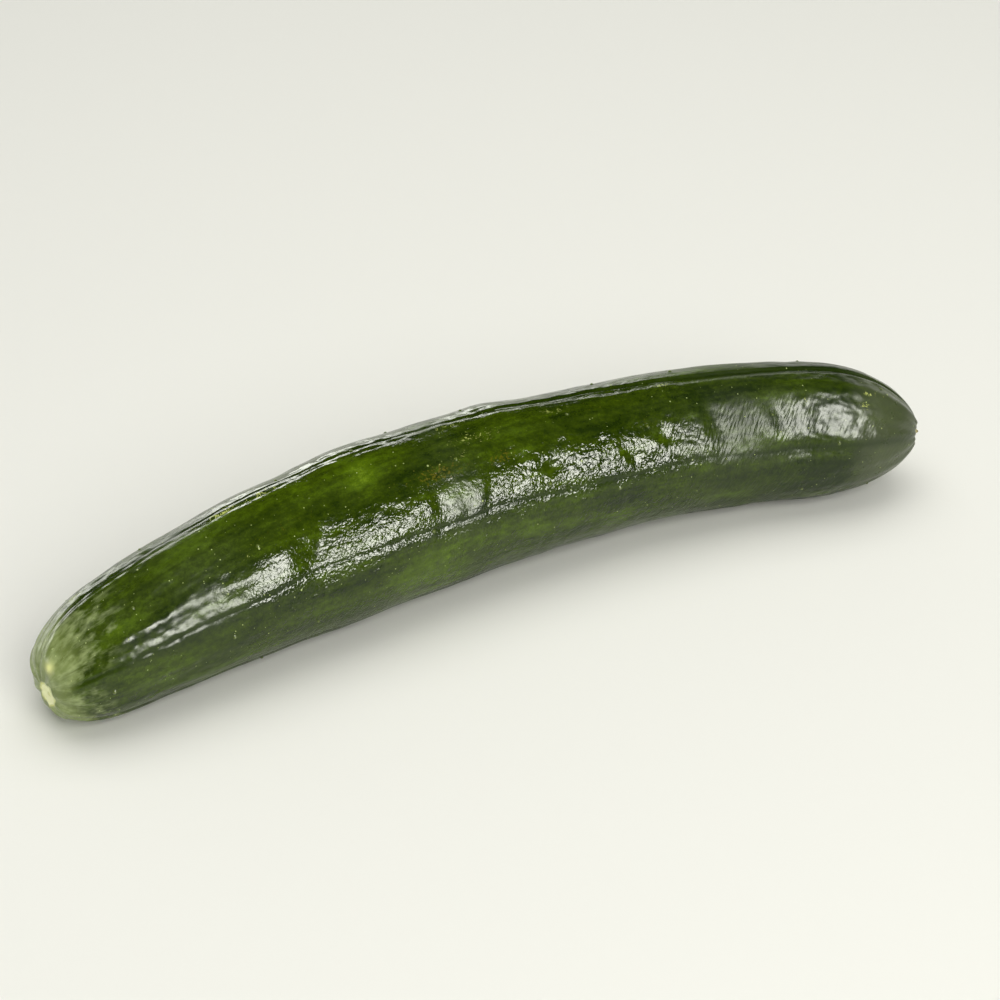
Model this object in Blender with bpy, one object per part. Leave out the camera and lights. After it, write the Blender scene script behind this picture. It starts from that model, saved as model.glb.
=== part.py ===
"""A fresh slicing cucumber, as picked, lying on its side.

The fruit grew as one piece, so it is one solid: a round body on a spine that bends level with the
surface it lies on, five grooves along it, soft swells between them, small warts, the sunken blossom
scar at the -X end and the sunken stem scar at the +X end.

Metres, +Z up. The origin is under the middle of the body, on the surface it rests on.
A place on the skin is a station, the distance along the skin from the blossom tip over its length,
and an angle round the spine: 0 faces -Y, 90 is the top, 180 faces +Y and 270 is underneath.
"""

import math

import bmesh
import bpy
import numpy as np
from mathutils import Matrix, Vector

MM = 0.001

# The body: its spine's length, its radius, and how much of that radius is left at each end.
SPINE_LENGTH = 0.300
FATTEST_RADIUS = 0.0252
FATTEST_AT = 0.39
BLOSSOM_END_SHARE = 0.635
STEM_END_SHARE = 0.80
BLOSSOM_CAP_LENGTH = 0.031
BLOSSOM_CAP_POWER = 3.5
STEM_CAP_LENGTH = 0.0375
STEM_CAP_POWER = 2.1

# The bend: how fast the spine turns at each place, in degrees for each spine length.
TURN_AT_BLOSSOM = 19.0
TURN_AT_MIDDLE = 32.0
TURN_AT_STEM = 110.0
BLOSSOM_DROOP = 0.0006
DROOP_LENGTH = 0.045

# The grooves: their angles at the blossom end, how far each drifts by the stem end, and their section.
GROOVE_ANGLES = (25.5, 106.0, 172.0, 244.0, 318.0)
GROOVE_DRIFTS = (-5.0, -13.0, -9.0, -8.0, -7.0)
GROOVE_DEPTHS = (0.55 * MM, 0.75 * MM, 0.60 * MM, 0.35 * MM, 0.50 * MM)
DRIFT_FROM = 0.100
DRIFT_TO = 0.215
GROOVE_HALF_WIDTH = 1.35 * MM
LIP_HEIGHT = 0.22 * MM
LIP_HALF_WIDTH = 3.6 * MM
BLOSSOM_FADE = 0.014
STEM_FADE = 0.005

# Faint ribs, three between each two grooves, which die away from both ends.
RIB_COUNT = 15
RIB_HEIGHT = 0.14 * MM
RIB_HOLLOW_ANGLE = 36.0
RIB_REACH_BLOSSOM = (0.040, 0.095)
RIB_REACH_STEM = (0.020, 0.060)

# Soft swells of the flesh: a few crossed waves, and those that the outline shows, each with
# its place along the spine, its angle, its height and its reach along the spine.
SWELL_SEED = 11
SWELL_WAVES = 9
SWELL_HEIGHT = 0.26 * MM
SWELL_LENGTHS = (0.022, 0.060)
SWELL_MOST_TURNS = 4
OUTLINE_SWELLS = (
    (0.088, 128.0, -0.7 * MM, 0.009),
    (0.112, 128.0, 0.9 * MM, 0.015),
    (0.157, 128.0, 0.8 * MM, 0.008),
    (0.190, 126.0, -1.2 * MM, 0.020),
    (0.096, 310.0, 0.8 * MM, 0.014),
    (0.125, 310.0, 0.6 * MM, 0.011),
    (0.200, 310.0, -0.6 * MM, 0.024),
    (0.262, 310.0, 0.6 * MM, 0.010),
)
OUTLINE_SWELL_SPREAD = 34.0

# The ends: knuckles round each tip, and the two scars.
KNUCKLE_COUNT = 9
KNUCKLE_HEIGHT = 0.30 * MM
KNUCKLE_AT = 0.009
KNUCKLE_REACH = 0.006
SCAR_RADIUS = 3.9 * MM
SCAR_DEPTH = 0.7 * MM
SCAR_TO_FRONT = 1.7 * MM
SCAR_TO_TOP = -1.6 * MM
STEM_PIT_RADIUS = 4.2 * MM
STEM_PIT_DEPTH = 1.9 * MM
STEM_CORE_RADIUS = 1.9 * MM
STEM_CORE_HEIGHT = 1.1 * MM

# The warts: small blunt cones, rooted in the skin, on all sides but the one it lies on.
WART_COUNT = 54
WART_SEED = 4
WART_RADIUS = 0.85 * MM
WART_TOP_SHARE = 0.45
WART_HEIGHT = 0.42 * MM
WART_ROOT = 0.9 * MM
WART_SIDES = 6
WART_MARGIN = 0.020
GOLDEN_TURN = 137.508
BARE_UNDERSIDE = 42.0

# How far the underside is pressed flat, and the mesh: columns follow the grooves and crowd at them.
FLAT_SPOT_DEPTH = 0.45 * MM
COLUMNS_A_GROOVE = 14
RINGS = 72
COLUMN_CROWDING = 0.55
TIP_CROWDING = 2.2
TIP_CROWDING_REACH = 0.014
SPINE_SAMPLES = 1201

SKIN_GREEN = (0.035, 0.085, 0.010, 1.0)
PALE_GREEN = (0.45, 0.55, 0.20, 1.0)


def smoothstep(x, low, high):
    """0 below low, 1 above high, and an S-shaped rise between."""
    t = np.clip((x - low) / (high - low), 0.0, 1.0)
    return t * t * (3.0 - 2.0 * t)


def angle_gap(angle, centre):
    """The signed difference of two angles in degrees, wrapped to -180..180."""
    return (angle - centre + 180.0) % 360.0 - 180.0


def body_radius(s):
    """Radius before the ends round off: it falls as a parabola from the fattest place to each end."""
    at = FATTEST_AT * SPINE_LENGTH
    to_blossom = np.clip((at - s) / at, 0.0, 1.0)
    to_stem = np.clip((s - at) / (SPINE_LENGTH - at), 0.0, 1.0)
    fall = (1.0 - BLOSSOM_END_SHARE) * to_blossom**2 + (1.0 - STEM_END_SHARE) * to_stem**2
    return FATTEST_RADIUS * (1.0 - fall)


def cap(distance, length, power):
    """Share of the radius at a distance from a tip: a superellipse, which reaches 1 at the cap's length."""
    left = 1.0 - np.clip(distance / length, 0.0, 1.0)
    return np.maximum(1.0 - left**power, 0.0) ** (1.0 / power)


def spine_table():
    """The spine and the meridian at fine steps: place, heading, radius and skin distance for each."""
    share = np.linspace(0.0, 1.0, SPINE_SAMPLES)
    eased = 0.5 - 0.5 * np.cos(np.pi * share)
    s = SPINE_LENGTH * eased
    t = eased - 0.5
    # The turn rate is the parabola through the three turn values, and the heading is its integral.
    slope = TURN_AT_STEM - TURN_AT_BLOSSOM
    curve = 2.0 * (TURN_AT_STEM + TURN_AT_BLOSSOM - 2.0 * TURN_AT_MIDDLE)
    heading = -np.radians(TURN_AT_MIDDLE * t + slope * t**2 / 2.0 + curve * t**3 / 3.0)
    step = np.diff(s, prepend=0.0)
    x = np.cumsum(np.cos(heading) * step)
    y = np.cumsum(np.sin(heading) * step)
    droop = BLOSSOM_DROOP * np.clip(1.0 - s / DROOP_LENGTH, 0.0, 1.0) ** 2
    radius = (
        body_radius(s)
        * cap(s, BLOSSOM_CAP_LENGTH, BLOSSOM_CAP_POWER)
        * cap(SPINE_LENGTH - s, STEM_CAP_LENGTH, STEM_CAP_POWER)
    )
    skin = np.cumsum(np.hypot(step, np.diff(radius, prepend=0.0)))
    return {
        "s": s,
        "x": x - np.interp(SPINE_LENGTH / 2, s, x),
        "y": y - np.interp(SPINE_LENGTH / 2, s, y),
        "z": body_radius(s) - droop,
        "heading": heading,
        "radius": radius,
        "skin": skin,
    }


def groove_angle(index, s):
    """The angle of one groove along the spine: it holds, drifts, holds again, and wavers a little."""
    drift = GROOVE_DRIFTS[index] * smoothstep(s, DRIFT_FROM, DRIFT_TO)
    waver = 0.9 * np.sin(s / 0.0105 + 1.7 * index) + 0.6 * np.sin(s / 0.0056 + 2.9 * index)
    return GROOVE_ANGLES[index] + drift + waver


def groove_relief(s, angle, radius):
    """Each groove is a narrow bell cut into a wide low bell, so that it has raised lips."""
    relief = np.zeros_like(s)
    for index, depth in enumerate(GROOVE_DEPTHS):
        across = np.radians(angle_gap(angle, groove_angle(index, s))) * radius
        ebb = 0.80 + 0.20 * np.sin(s / 0.013 + 2.1 * index)
        cut = np.exp(-((across / GROOVE_HALF_WIDTH) ** 2))
        lip = np.exp(-((across / LIP_HALF_WIDTH) ** 2))
        relief += LIP_HEIGHT * lip - (depth * ebb + LIP_HEIGHT) * cut
    return relief


def swell_relief(s, angle):
    """Soft lumps: a sum of waves of seeded length, direction and phase, and the swells of the outline."""
    draw = np.random.RandomState(SWELL_SEED)
    relief = np.zeros_like(s)
    for _ in range(SWELL_WAVES):
        length = draw.uniform(*SWELL_LENGTHS)
        turns = draw.randint(0, SWELL_MOST_TURNS + 1)
        phase, lean = draw.uniform(0.0, 2.0 * math.pi, 2)
        along = 2.0 * math.pi * s / length + phase
        relief += np.sin(along) * np.cos(turns * np.radians(angle) + lean)
    relief *= SWELL_HEIGHT / math.sqrt(SWELL_WAVES)
    for at, facing, height, reach in OUTLINE_SWELLS:
        near = ((s - at) / reach) ** 2 + (angle_gap(angle, facing) / OUTLINE_SWELL_SPREAD) ** 2
        relief += height * np.exp(-near)
    return relief


def rib_relief(s, angle):
    """Low ribs as a cosine round the spine, strongest towards the ends."""
    near_blossom = 1.0 - smoothstep(s, *RIB_REACH_BLOSSOM)
    near_stem = 1.0 - smoothstep(SPINE_LENGTH - s, *RIB_REACH_STEM)
    wave = np.cos(np.radians(RIB_COUNT * angle_gap(angle, RIB_HOLLOW_ANGLE)))
    return -RIB_HEIGHT * (near_blossom + near_stem) * wave


def tip_relief(tip_distance, angle, centre, radius, depth, core_radius=0.0, core_height=0.0):
    """A round scar sunk near a tip, its floor flat and its wall an S curve, with an optional blunt core."""
    sideways = tip_distance * np.cos(np.radians(angle)) - centre[0]
    upward = tip_distance * np.sin(np.radians(angle)) - centre[1]
    away = np.hypot(sideways, upward)
    relief = -depth * (1.0 - smoothstep(away, 0.55 * radius, 1.15 * radius))
    if core_radius:
        relief += core_height * (1.0 - smoothstep(away, 0.5 * core_radius, 1.2 * core_radius))
    return relief


def skin_points(station, angle):
    """Points and outward normals of the skin at stations (metres of skin from the tip) and angles."""
    table = spine_table()
    whole = table["skin"][-1]

    def at(name):
        return np.interp(station, table["skin"], table[name])

    s, radius, heading = at("s"), at("radius"), at("heading")
    slope_s = np.gradient(table["s"], table["skin"])
    slope_r = np.gradient(table["radius"], table["skin"])
    along = np.interp(station, table["skin"], slope_s)
    outward = np.interp(station, table["skin"], slope_r)

    tangent = np.stack([np.cos(heading), np.sin(heading), np.zeros_like(s)], axis=1)
    left = np.stack([-np.sin(heading), np.cos(heading), np.zeros_like(s)], axis=1)
    turn = np.radians(angle)
    ray = -np.cos(turn)[:, None] * left + np.sin(turn)[:, None] * np.array([0.0, 0.0, 1.0])
    normal = along[:, None] * ray - outward[:, None] * tangent
    normal /= np.linalg.norm(normal, axis=1)[:, None]

    to_stem_tip = whole - station
    quiet = smoothstep(station, 0.0, BLOSSOM_FADE) * smoothstep(to_stem_tip, 0.0, STEM_FADE)
    relief = quiet * (groove_relief(s, angle, radius) + swell_relief(s, angle) + rib_relief(s, angle))
    near_blossom = np.exp(-(((station - KNUCKLE_AT) / KNUCKLE_REACH) ** 2))
    relief += KNUCKLE_HEIGHT * near_blossom * np.sin(KNUCKLE_COUNT * turn)
    relief += tip_relief(station, angle, (SCAR_TO_FRONT, SCAR_TO_TOP), SCAR_RADIUS, SCAR_DEPTH)
    relief += tip_relief(
        to_stem_tip, angle, (0.0, 0.0), STEM_PIT_RADIUS, STEM_PIT_DEPTH, STEM_CORE_RADIUS, STEM_CORE_HEIGHT
    )

    centre = np.stack([at("x"), at("y"), at("z")], axis=1)
    points = centre + radius[:, None] * ray + relief[:, None] * normal
    return points, normal


def column_angle(longitude, s):
    """The sphere's even longitudes, moved so that columns run along the grooves and crowd at them."""
    count = len(GROOVE_ANGLES)
    place = longitude / (2.0 * math.pi) * count
    sector = np.floor(place + 1e-6).astype(int)
    x = place - sector
    eased = x - COLUMN_CROWDING * np.sin(2.0 * math.pi * x) / (2.0 * math.pi)
    angles = np.array([groove_angle(k, s) for k in range(count)])
    angles = np.vstack([angles, angles[0] + 360.0])
    rows = np.arange(len(s))
    low, high = angles[sector % count, rows], angles[sector % count + 1, rows]
    return low + eased * (high - low)


def ring_station(share):
    """Even shares of the rings, moved so that the rings crowd together towards both tips."""
    whole = spine_table()["skin"][-1]
    place = np.linspace(0.0, whole, SPINE_SAMPLES)
    near_tip = np.exp(-place / TIP_CROWDING_REACH) + np.exp(-(whole - place) / TIP_CROWDING_REACH)
    crowd = np.cumsum(1.0 + TIP_CROWDING * near_tip)
    crowd = (crowd - crowd[0]) / (crowd[-1] - crowd[0])
    return np.interp(share, crowd, place)


def make_material(name, colour, roughness):
    material = bpy.data.materials.new(name)
    material.use_nodes = True
    shader = material.node_tree.nodes["Principled BSDF"]
    shader.inputs["Base Color"].default_value = colour
    shader.inputs["Roughness"].default_value = roughness
    shader.inputs["Metallic"].default_value = 0.0
    return material


def make_body(collection):
    """A unit sphere whose rings and columns are carried onto the skin, so it stays closed at both tips."""
    bm = bmesh.new()
    columns = COLUMNS_A_GROOVE * len(GROOVE_ANGLES)
    bmesh.ops.create_uvsphere(bm, u_segments=columns, v_segments=RINGS, radius=1.0)
    mesh = bpy.data.meshes.new("cucumber")
    bm.to_mesh(mesh)
    bm.free()

    sphere = np.zeros(len(mesh.vertices) * 3)
    mesh.vertices.foreach_get("co", sphere)
    sphere = sphere.reshape(-1, 3)
    share = np.arccos(np.clip(sphere[:, 2], -1.0, 1.0)) / math.pi
    longitude = np.arctan2(sphere[:, 1], sphere[:, 0]) % (2.0 * math.pi)
    station = ring_station(share)
    table = spine_table()
    s = np.interp(station, table["skin"], table["s"])
    points, _ = skin_points(station, column_angle(longitude, s))
    mesh.vertices.foreach_set("co", points.ravel())
    mesh.update()
    mesh.shade_smooth()
    mesh.set_sharp_from_angle(angle=math.radians(50.0))

    body = bpy.data.objects.new("cucumber", mesh)
    collection.objects.link(body)
    mesh.materials.append(make_material("cucumber_skin", SKIN_GREEN, 0.30))
    return body


def add_warts(body, collection):
    """Blunt cones on a golden-angle spiral with seeded jitter, joined to the body by one union."""
    draw = np.random.RandomState(WART_SEED)
    whole = spine_table()["skin"][-1]
    pale = make_material("wart_pale", PALE_GREEN, 0.45)
    for index in range(WART_COUNT):
        share = (index + draw.uniform(0.1, 0.9)) / WART_COUNT
        station = WART_MARGIN + share * (whole - 2.0 * WART_MARGIN)
        angle = (index * GOLDEN_TURN + draw.uniform(-20.0, 20.0)) % 360.0
        size = draw.uniform(0.75, 1.15)
        if abs(angle_gap(angle, 270.0)) < BARE_UNDERSIDE:
            continue
        points, normals = skin_points(np.array([station]), np.array([angle]))
        bm = bmesh.new()
        bmesh.ops.create_cone(
            bm,
            cap_ends=True,
            segments=WART_SIDES,
            radius1=WART_RADIUS * size,
            radius2=WART_RADIUS * size * WART_TOP_SHARE,
            depth=WART_ROOT + WART_HEIGHT,
        )
        centre = Vector(points[0]) + Vector(normals[0]) * (WART_HEIGHT - WART_ROOT) / 2.0
        turned = Vector(normals[0]).to_track_quat("Z", "X").to_matrix().to_4x4()
        bm.transform(Matrix.Translation(centre) @ turned)
        mesh = bpy.data.meshes.new("wart")
        bm.to_mesh(mesh)
        bm.free()
        mesh.materials.append(pale)
        collection.objects.link(bpy.data.objects.new(f"wart_{index:02d}", mesh))

    union = body.modifiers.new("warts", "BOOLEAN")
    union.operation = "UNION"
    union.operand_type = "COLLECTION"
    union.collection = collection
    union.solver = "MANIFOLD"
    bpy.context.view_layer.update()
    joined = bpy.data.meshes.new_from_object(body.evaluated_get(bpy.context.evaluated_depsgraph_get()))
    body.modifiers.clear()
    body.data = joined
    for wart in list(collection.objects):
        bpy.data.objects.remove(wart)
    bpy.data.collections.remove(collection)


def lay_down(body):
    """Sets the body on the surface: its underside is pressed flat by a hair, and its middle is the origin."""
    mesh = body.data
    points = np.zeros(len(mesh.vertices) * 3)
    mesh.vertices.foreach_get("co", points)
    points = points.reshape(-1, 3)
    floor = points[:, 2].min() + FLAT_SPOT_DEPTH
    points[:, 2] = np.maximum(points[:, 2] - floor, 0.0)
    middle = (points.min(axis=0) + points.max(axis=0)) / 2.0
    points[:, :2] -= middle[:2]
    mesh.vertices.foreach_set("co", points.ravel())
    mesh.update()


def main():
    for old in list(bpy.data.objects):
        bpy.data.objects.remove(old)
    fruit = bpy.data.collections.new("cucumber")
    warts = bpy.data.collections.new("warts")
    bpy.context.scene.collection.children.link(fruit)
    bpy.context.scene.collection.children.link(warts)
    body = make_body(fruit)
    add_warts(body, warts)
    lay_down(body)
    print("triangles:", sum(len(face.vertices) - 2 for face in body.data.polygons))


main()
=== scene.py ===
# %% [markdown]
# # A fresh cucumber
#
# This lesson dresses a plain solid of a long slicing cucumber. The solid already has the real size,
# the bend, five grooves along the body, soft swells, small warts and a scar at each end. What it lacks
# is what the eye reads as skin: wax, wrinkles, folds, specks and many greens in one.
#
# We work the skin out again as a formula of two numbers, so that we can sample it as finely as we like,
# and then we paint and light it. Everything is in metres, +Z is up, and the cucumber lies on z = 0.

# %% Load the solid
import math

import bpy
import numpy as np
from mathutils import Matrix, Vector


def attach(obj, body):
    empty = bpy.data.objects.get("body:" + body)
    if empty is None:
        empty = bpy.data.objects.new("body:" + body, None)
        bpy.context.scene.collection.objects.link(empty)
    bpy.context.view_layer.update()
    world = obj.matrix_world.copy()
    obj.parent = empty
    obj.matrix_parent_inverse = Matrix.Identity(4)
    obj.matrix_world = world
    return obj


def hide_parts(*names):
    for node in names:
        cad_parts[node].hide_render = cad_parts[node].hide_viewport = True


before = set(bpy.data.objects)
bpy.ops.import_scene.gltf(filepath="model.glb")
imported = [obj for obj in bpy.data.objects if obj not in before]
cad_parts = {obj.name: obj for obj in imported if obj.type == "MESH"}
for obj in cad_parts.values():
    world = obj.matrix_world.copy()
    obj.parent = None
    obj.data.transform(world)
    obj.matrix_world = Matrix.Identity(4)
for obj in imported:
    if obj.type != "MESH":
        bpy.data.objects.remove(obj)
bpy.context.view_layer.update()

# %% [markdown]
# ## Small tools
#
# A cucumber has no sharp corner anywhere. Nearly all of its forms can be made from two curves: an S that
# rises once, and a bell that rises and falls. Both work on whole arrays at once, which is why none of the
# cells below needs a loop over vertices.

# %% Curves that everything else is made of
MM = 0.001


def smoothstep(x, low, high):
    """0 below low, 1 above high, and between them the S curve 3t^2 - 2t^3."""
    t = np.clip((x - low) / (high - low), 0.0, 1.0)
    return t * t * (3.0 - 2.0 * t)


def bell(x, half_width):
    """The bell curve e^(-(x / half width)^2): 1 in the middle, 0.37 at the half width."""
    return np.exp(-((x / half_width) ** 2))


def angle_gap(angle, centre):
    """The signed difference of two angles in degrees, wrapped to -180..180."""
    return (angle - centre + 180.0) % 360.0 - 180.0


def through(points, s):
    """A smooth line through a few (place, value) points: one S curve from each point to the next."""
    value = np.full_like(s, points[0][1])
    for (low, before), (high, after) in zip(points, points[1:]):
        value += (after - before) * smoothstep(s, low, high)
    return value


# %% [markdown]
# ## The body
#
# The fruit is a round body on a bent spine. The spine's heading is the integral of how fast it turns,
# gently at the blossom end and much faster at the stem end. The radius is a shallow hill, closed by a
# superellipse at each end: a blunt one where the flower was, and a rounder one at the stem.
#
# We measure places in two ways. `s` is the distance along the spine. `station` is the distance along the
# skin, which also counts the way up over the blunt tips, where the spine hardly moves.

# %% Spine and radius
SPINE_LENGTH = 0.300
FATTEST_RADIUS = 0.0252
FATTEST_AT = 0.39
BLOSSOM_END_SHARE = 0.635
STEM_END_SHARE = 0.80
BLOSSOM_CAP_LENGTH = 0.031
BLOSSOM_CAP_POWER = 3.5
STEM_CAP_LENGTH = 0.0375
STEM_CAP_POWER = 2.1
TURN_AT_BLOSSOM = 19.0
TURN_AT_MIDDLE = 32.0
TURN_AT_STEM = 110.0
BLOSSOM_DROOP = 0.0006
DROOP_LENGTH = 0.045
SPINE_SAMPLES = 1201


def body_radius(s):
    """Radius before the ends round off: it falls as a parabola from the fattest place to each end."""
    at = FATTEST_AT * SPINE_LENGTH
    to_blossom = np.clip((at - s) / at, 0.0, 1.0)
    to_stem = np.clip((s - at) / (SPINE_LENGTH - at), 0.0, 1.0)
    fall = (1.0 - BLOSSOM_END_SHARE) * to_blossom**2 + (1.0 - STEM_END_SHARE) * to_stem**2
    return FATTEST_RADIUS * (1.0 - fall)


def cap(distance, length, power):
    """Share of the radius at a distance from a tip: a superellipse, 1 from the cap's length on."""
    left = 1.0 - np.clip(distance / length, 0.0, 1.0)
    return np.maximum(1.0 - left**power, 0.0) ** (1.0 / power)


def measure_spine():
    """The spine at fine steps: its place, heading and radius, and the distance along the skin."""
    share = np.linspace(0.0, 1.0, SPINE_SAMPLES)
    eased = 0.5 - 0.5 * np.cos(np.pi * share)
    s = SPINE_LENGTH * eased
    t = eased - 0.5
    slope = TURN_AT_STEM - TURN_AT_BLOSSOM
    curve = 2.0 * (TURN_AT_STEM + TURN_AT_BLOSSOM - 2.0 * TURN_AT_MIDDLE)
    heading = -np.radians(TURN_AT_MIDDLE * t + slope * t**2 / 2.0 + curve * t**3 / 3.0)
    step = np.diff(s, prepend=0.0)
    x = np.cumsum(np.cos(heading) * step)
    y = np.cumsum(np.sin(heading) * step)
    droop = BLOSSOM_DROOP * np.clip(1.0 - s / DROOP_LENGTH, 0.0, 1.0) ** 2
    ends = cap(s, BLOSSOM_CAP_LENGTH, BLOSSOM_CAP_POWER)
    ends = ends * cap(SPINE_LENGTH - s, STEM_CAP_LENGTH, STEM_CAP_POWER)
    radius = body_radius(s) * ends
    return {
        "s": s,
        "x": x - np.interp(SPINE_LENGTH / 2, s, x),
        "y": y - np.interp(SPINE_LENGTH / 2, s, y),
        "z": body_radius(s) - droop,
        "heading": heading,
        "radius": radius,
        "station": np.cumsum(np.hypot(step, np.diff(radius, prepend=0.0))),
    }


SPINE = measure_spine()
WHOLE = SPINE["station"][-1]


def along_spine(name, station):
    """One of the measured values at any station."""
    return np.interp(station, SPINE["station"], SPINE[name])


print("skin from tip to tip:", round(1000 * WHOLE, 1), "mm")

# %% [markdown]
# ## The grooves
#
# Five shallow grooves run from tip to tip, where the walls of the fruit's chambers meet the skin. Each
# one wavers a little. We cut four of them as a narrow bell out of a wide low one, which leaves a raised
# lip on both sides: the lip catches the light as a thin bright line. The one in front is the shallowest,
# and its lip fades out before the stem.

# %% Grooves with lips
# Angles are in degrees: 0 is the front, 90 the top, 180 the back and 270 underneath.
GROOVE_ANGLES = (23.2, 106.0, 172.0, 244.0, 318.0)
GROOVE_DRIFTS = (-5.0, -13.0, -9.0, -8.0, -7.0)
GROOVE_DEPTHS = (0.24 * MM, 0.75 * MM, 0.60 * MM, 0.35 * MM, 0.50 * MM)
GROOVE_HALF_WIDTHS = (0.85 * MM, 1.35 * MM, 1.35 * MM, 1.35 * MM, 1.35 * MM)
DRIFT_PLACES = (0.100, 0.215)
# Each waver: its degrees, its length and how far it is shifted from one groove to the next.
WAVERS = ((0.9, 0.0105, 1.7), (0.6, 0.0056, 2.9))
GROOVE_EBB = (0.20, 0.013)
EBB_SHIFT = 2.1
LIP_HEIGHT = 0.22 * MM
LIP_HALF_WIDTH = 3.6 * MM
TOP_GROOVE = 1
FRONT_GROOVE = 0
FRONT_LIP_SHARE = 0.4
FRONT_SHALLOWING = 0.60
FRONT_SHALLOWS = (0.125, 0.155)
FRONT_STARTS = (0.026, 0.050)
FRONT_LIP_ENDS = (0.200, 0.230)


def groove_angle(index, s):
    """The angle of one groove: it holds, drifts, holds again, and two sine waves make it waver."""
    drift = GROOVE_DRIFTS[index] * smoothstep(s, *DRIFT_PLACES)
    waver = sum(size * np.sin(s / length + shift * index) for size, length, shift in WAVERS)
    return GROOVE_ANGLES[index] + drift + waver


def across_groove(index, s, angle, radius):
    """The distance on the skin from the middle of a groove, in metres, signed."""
    return np.radians(angle_gap(angle, groove_angle(index, s))) * radius


def ebbing(s, share, length, shift):
    """A factor that ebbs and flows along the body: 1 less a share, plus the share times a sine."""
    return 1.0 - share + share * np.sin(s / length + shift)


def groove_relief(s, angle, radius):
    """Each groove but the top one: a wide low bell less a narrow deep one, whose depth ebbs and flows."""
    relief = np.zeros_like(s)
    for index, depth in enumerate(GROOVE_DEPTHS):
        if index == TOP_GROOVE:
            continue
        across = across_groove(index, s, angle, radius)
        ebb = ebbing(s, *GROOVE_EBB, EBB_SHIFT * index)
        cut = bell(across, GROOVE_HALF_WIDTHS[index])
        lip = LIP_HEIGHT
        if index == FRONT_GROOVE:
            lip = LIP_HEIGHT * FRONT_LIP_SHARE * (1.0 - smoothstep(s, *FRONT_LIP_ENDS))
            shallow = smoothstep(s, *FRONT_SHALLOWS) + 1.0 - smoothstep(s, *FRONT_STARTS)
            depth = depth * (1.0 - FRONT_SHALLOWING * shallow)
        relief += lip * bell(across, LIP_HALF_WIDTH) - (depth * ebb + lip) * cut
    return relief


# %% [markdown]
# The top groove is different. Its near side is a terrace: a narrow step down at a wandering shoulder
# line, then a nearly level strip, then the groove itself. Towards the stem the step widens until the
# whole strip slopes. That slope faces backwards, so it shows as a pale band that mirrors the backdrop.

# %% The top groove and its terrace
SHOULDER_LINE = (
    (0.015, 99.0), (0.060, 97.5), (0.078, 97.0), (0.097, 101.0), (0.118, 96.0),
    (0.139, 101.0), (0.166, 92.5), (0.201, 85.5), (0.226, 83.5), (0.262, 86.5), (0.288, 90.0),
)
VALLEY_LINE = (
    (0.015, 105.5), (0.080, 107.0), (0.138, 103.5), (0.158, 101.0),
    (0.185, 99.0), (0.206, 95.5), (0.235, 94.5), (0.265, 98.0), (0.290, 99.5),
)
STEP_WIDTH = ((0.140, 0.8 * MM), (0.172, 2.2 * MM), (0.250, 3.4 * MM))
STEP_DEPTH = (
    (0.020, 0.18 * MM), (0.100, 0.22 * MM), (0.140, 0.28 * MM), (0.180, 0.55 * MM), (0.250, 0.80 * MM),
)
STRIP_RISE = ((0.140, 0.75), (0.172, 0.20))
FAR_BANK = 1.3 * MM
VALLEY_CUT = ((0.140, 0.17 * MM), (0.172, 0.14 * MM))
VALLEY_HALF_WIDTH = 0.55 * MM
VALLEY_EBB = (0.25, 0.0085, 0.6)


def terrace_relief(s, angle, radius):
    """Down an S curve at the shoulder, slowly up to the valley line and past it, less a bell there."""
    past = np.radians(angle_gap(angle, through(SHOULDER_LINE, s))) * radius
    width = np.radians(through(VALLEY_LINE, s) - through(SHOULDER_LINE, s)) * radius
    fall = smoothstep(past / through(STEP_WIDTH, s), 0.0, 1.0)
    rise = smoothstep(past - width, 0.0, FAR_BANK)
    cut = bell(past - width, VALLEY_HALF_WIDTH)
    share = np.clip(past / np.maximum(width, MM), 0.0, 1.0)
    strip = fall * (1.0 - through(STRIP_RISE, s) * share) * (1.0 - rise)
    return -through(STEP_DEPTH, s) * strip - through(VALLEY_CUT, s) * ebbing(s, *VALLEY_EBB) * cut


# %% [markdown]
# ## Swells, ribs and folds
#
# Flesh grows unevenly. Long soft swells come from crossed waves with seeded lengths and directions, and a
# few named ones sit where the outline of the real fruit bulges or dips. Faint ribs show at both ends.
#
# Low folds run across the body. They are hardly deep enough to feel, but a glossy skin turns each of them
# into a dark break in its highlight, so they do more for the look than any larger form.

# %% Swells and ribs
RIB_COUNT = 15
RIB_HEIGHT = 0.14 * MM
RIB_HOLLOW_ANGLE = 36.0
RIB_QUIET_ANGLE = 104.0
RIB_QUIET_REACH = 15.0
RIB_REACH_BLOSSOM = (0.040, 0.095)
RIB_REACH_STEM = (0.020, 0.060)
# A set of crossed waves: its seed, how many, their lengths, the most turns of one, and their height.
SWELLS = (11, 9, (0.022, 0.060), 4, 0.26 * MM)
# Each named swell: its place along the spine, its angle, its height and its reach.
OUTLINE_SWELLS = (
    (0.088, 128.0, -0.7 * MM, 0.009), (0.112, 128.0, 0.9 * MM, 0.015),
    (0.157, 128.0, 0.8 * MM, 0.008), (0.190, 126.0, -1.2 * MM, 0.020),
    (0.096, 310.0, 0.8 * MM, 0.014), (0.125, 310.0, 0.6 * MM, 0.011),
    (0.200, 310.0, -0.6 * MM, 0.024), (0.262, 310.0, 0.6 * MM, 0.010),
)
OUTLINE_SWELL_SPREAD = 34.0
STEM_BROW = (0.262, 68.0, 1.80 * MM, 0.034, 16.0)


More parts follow.
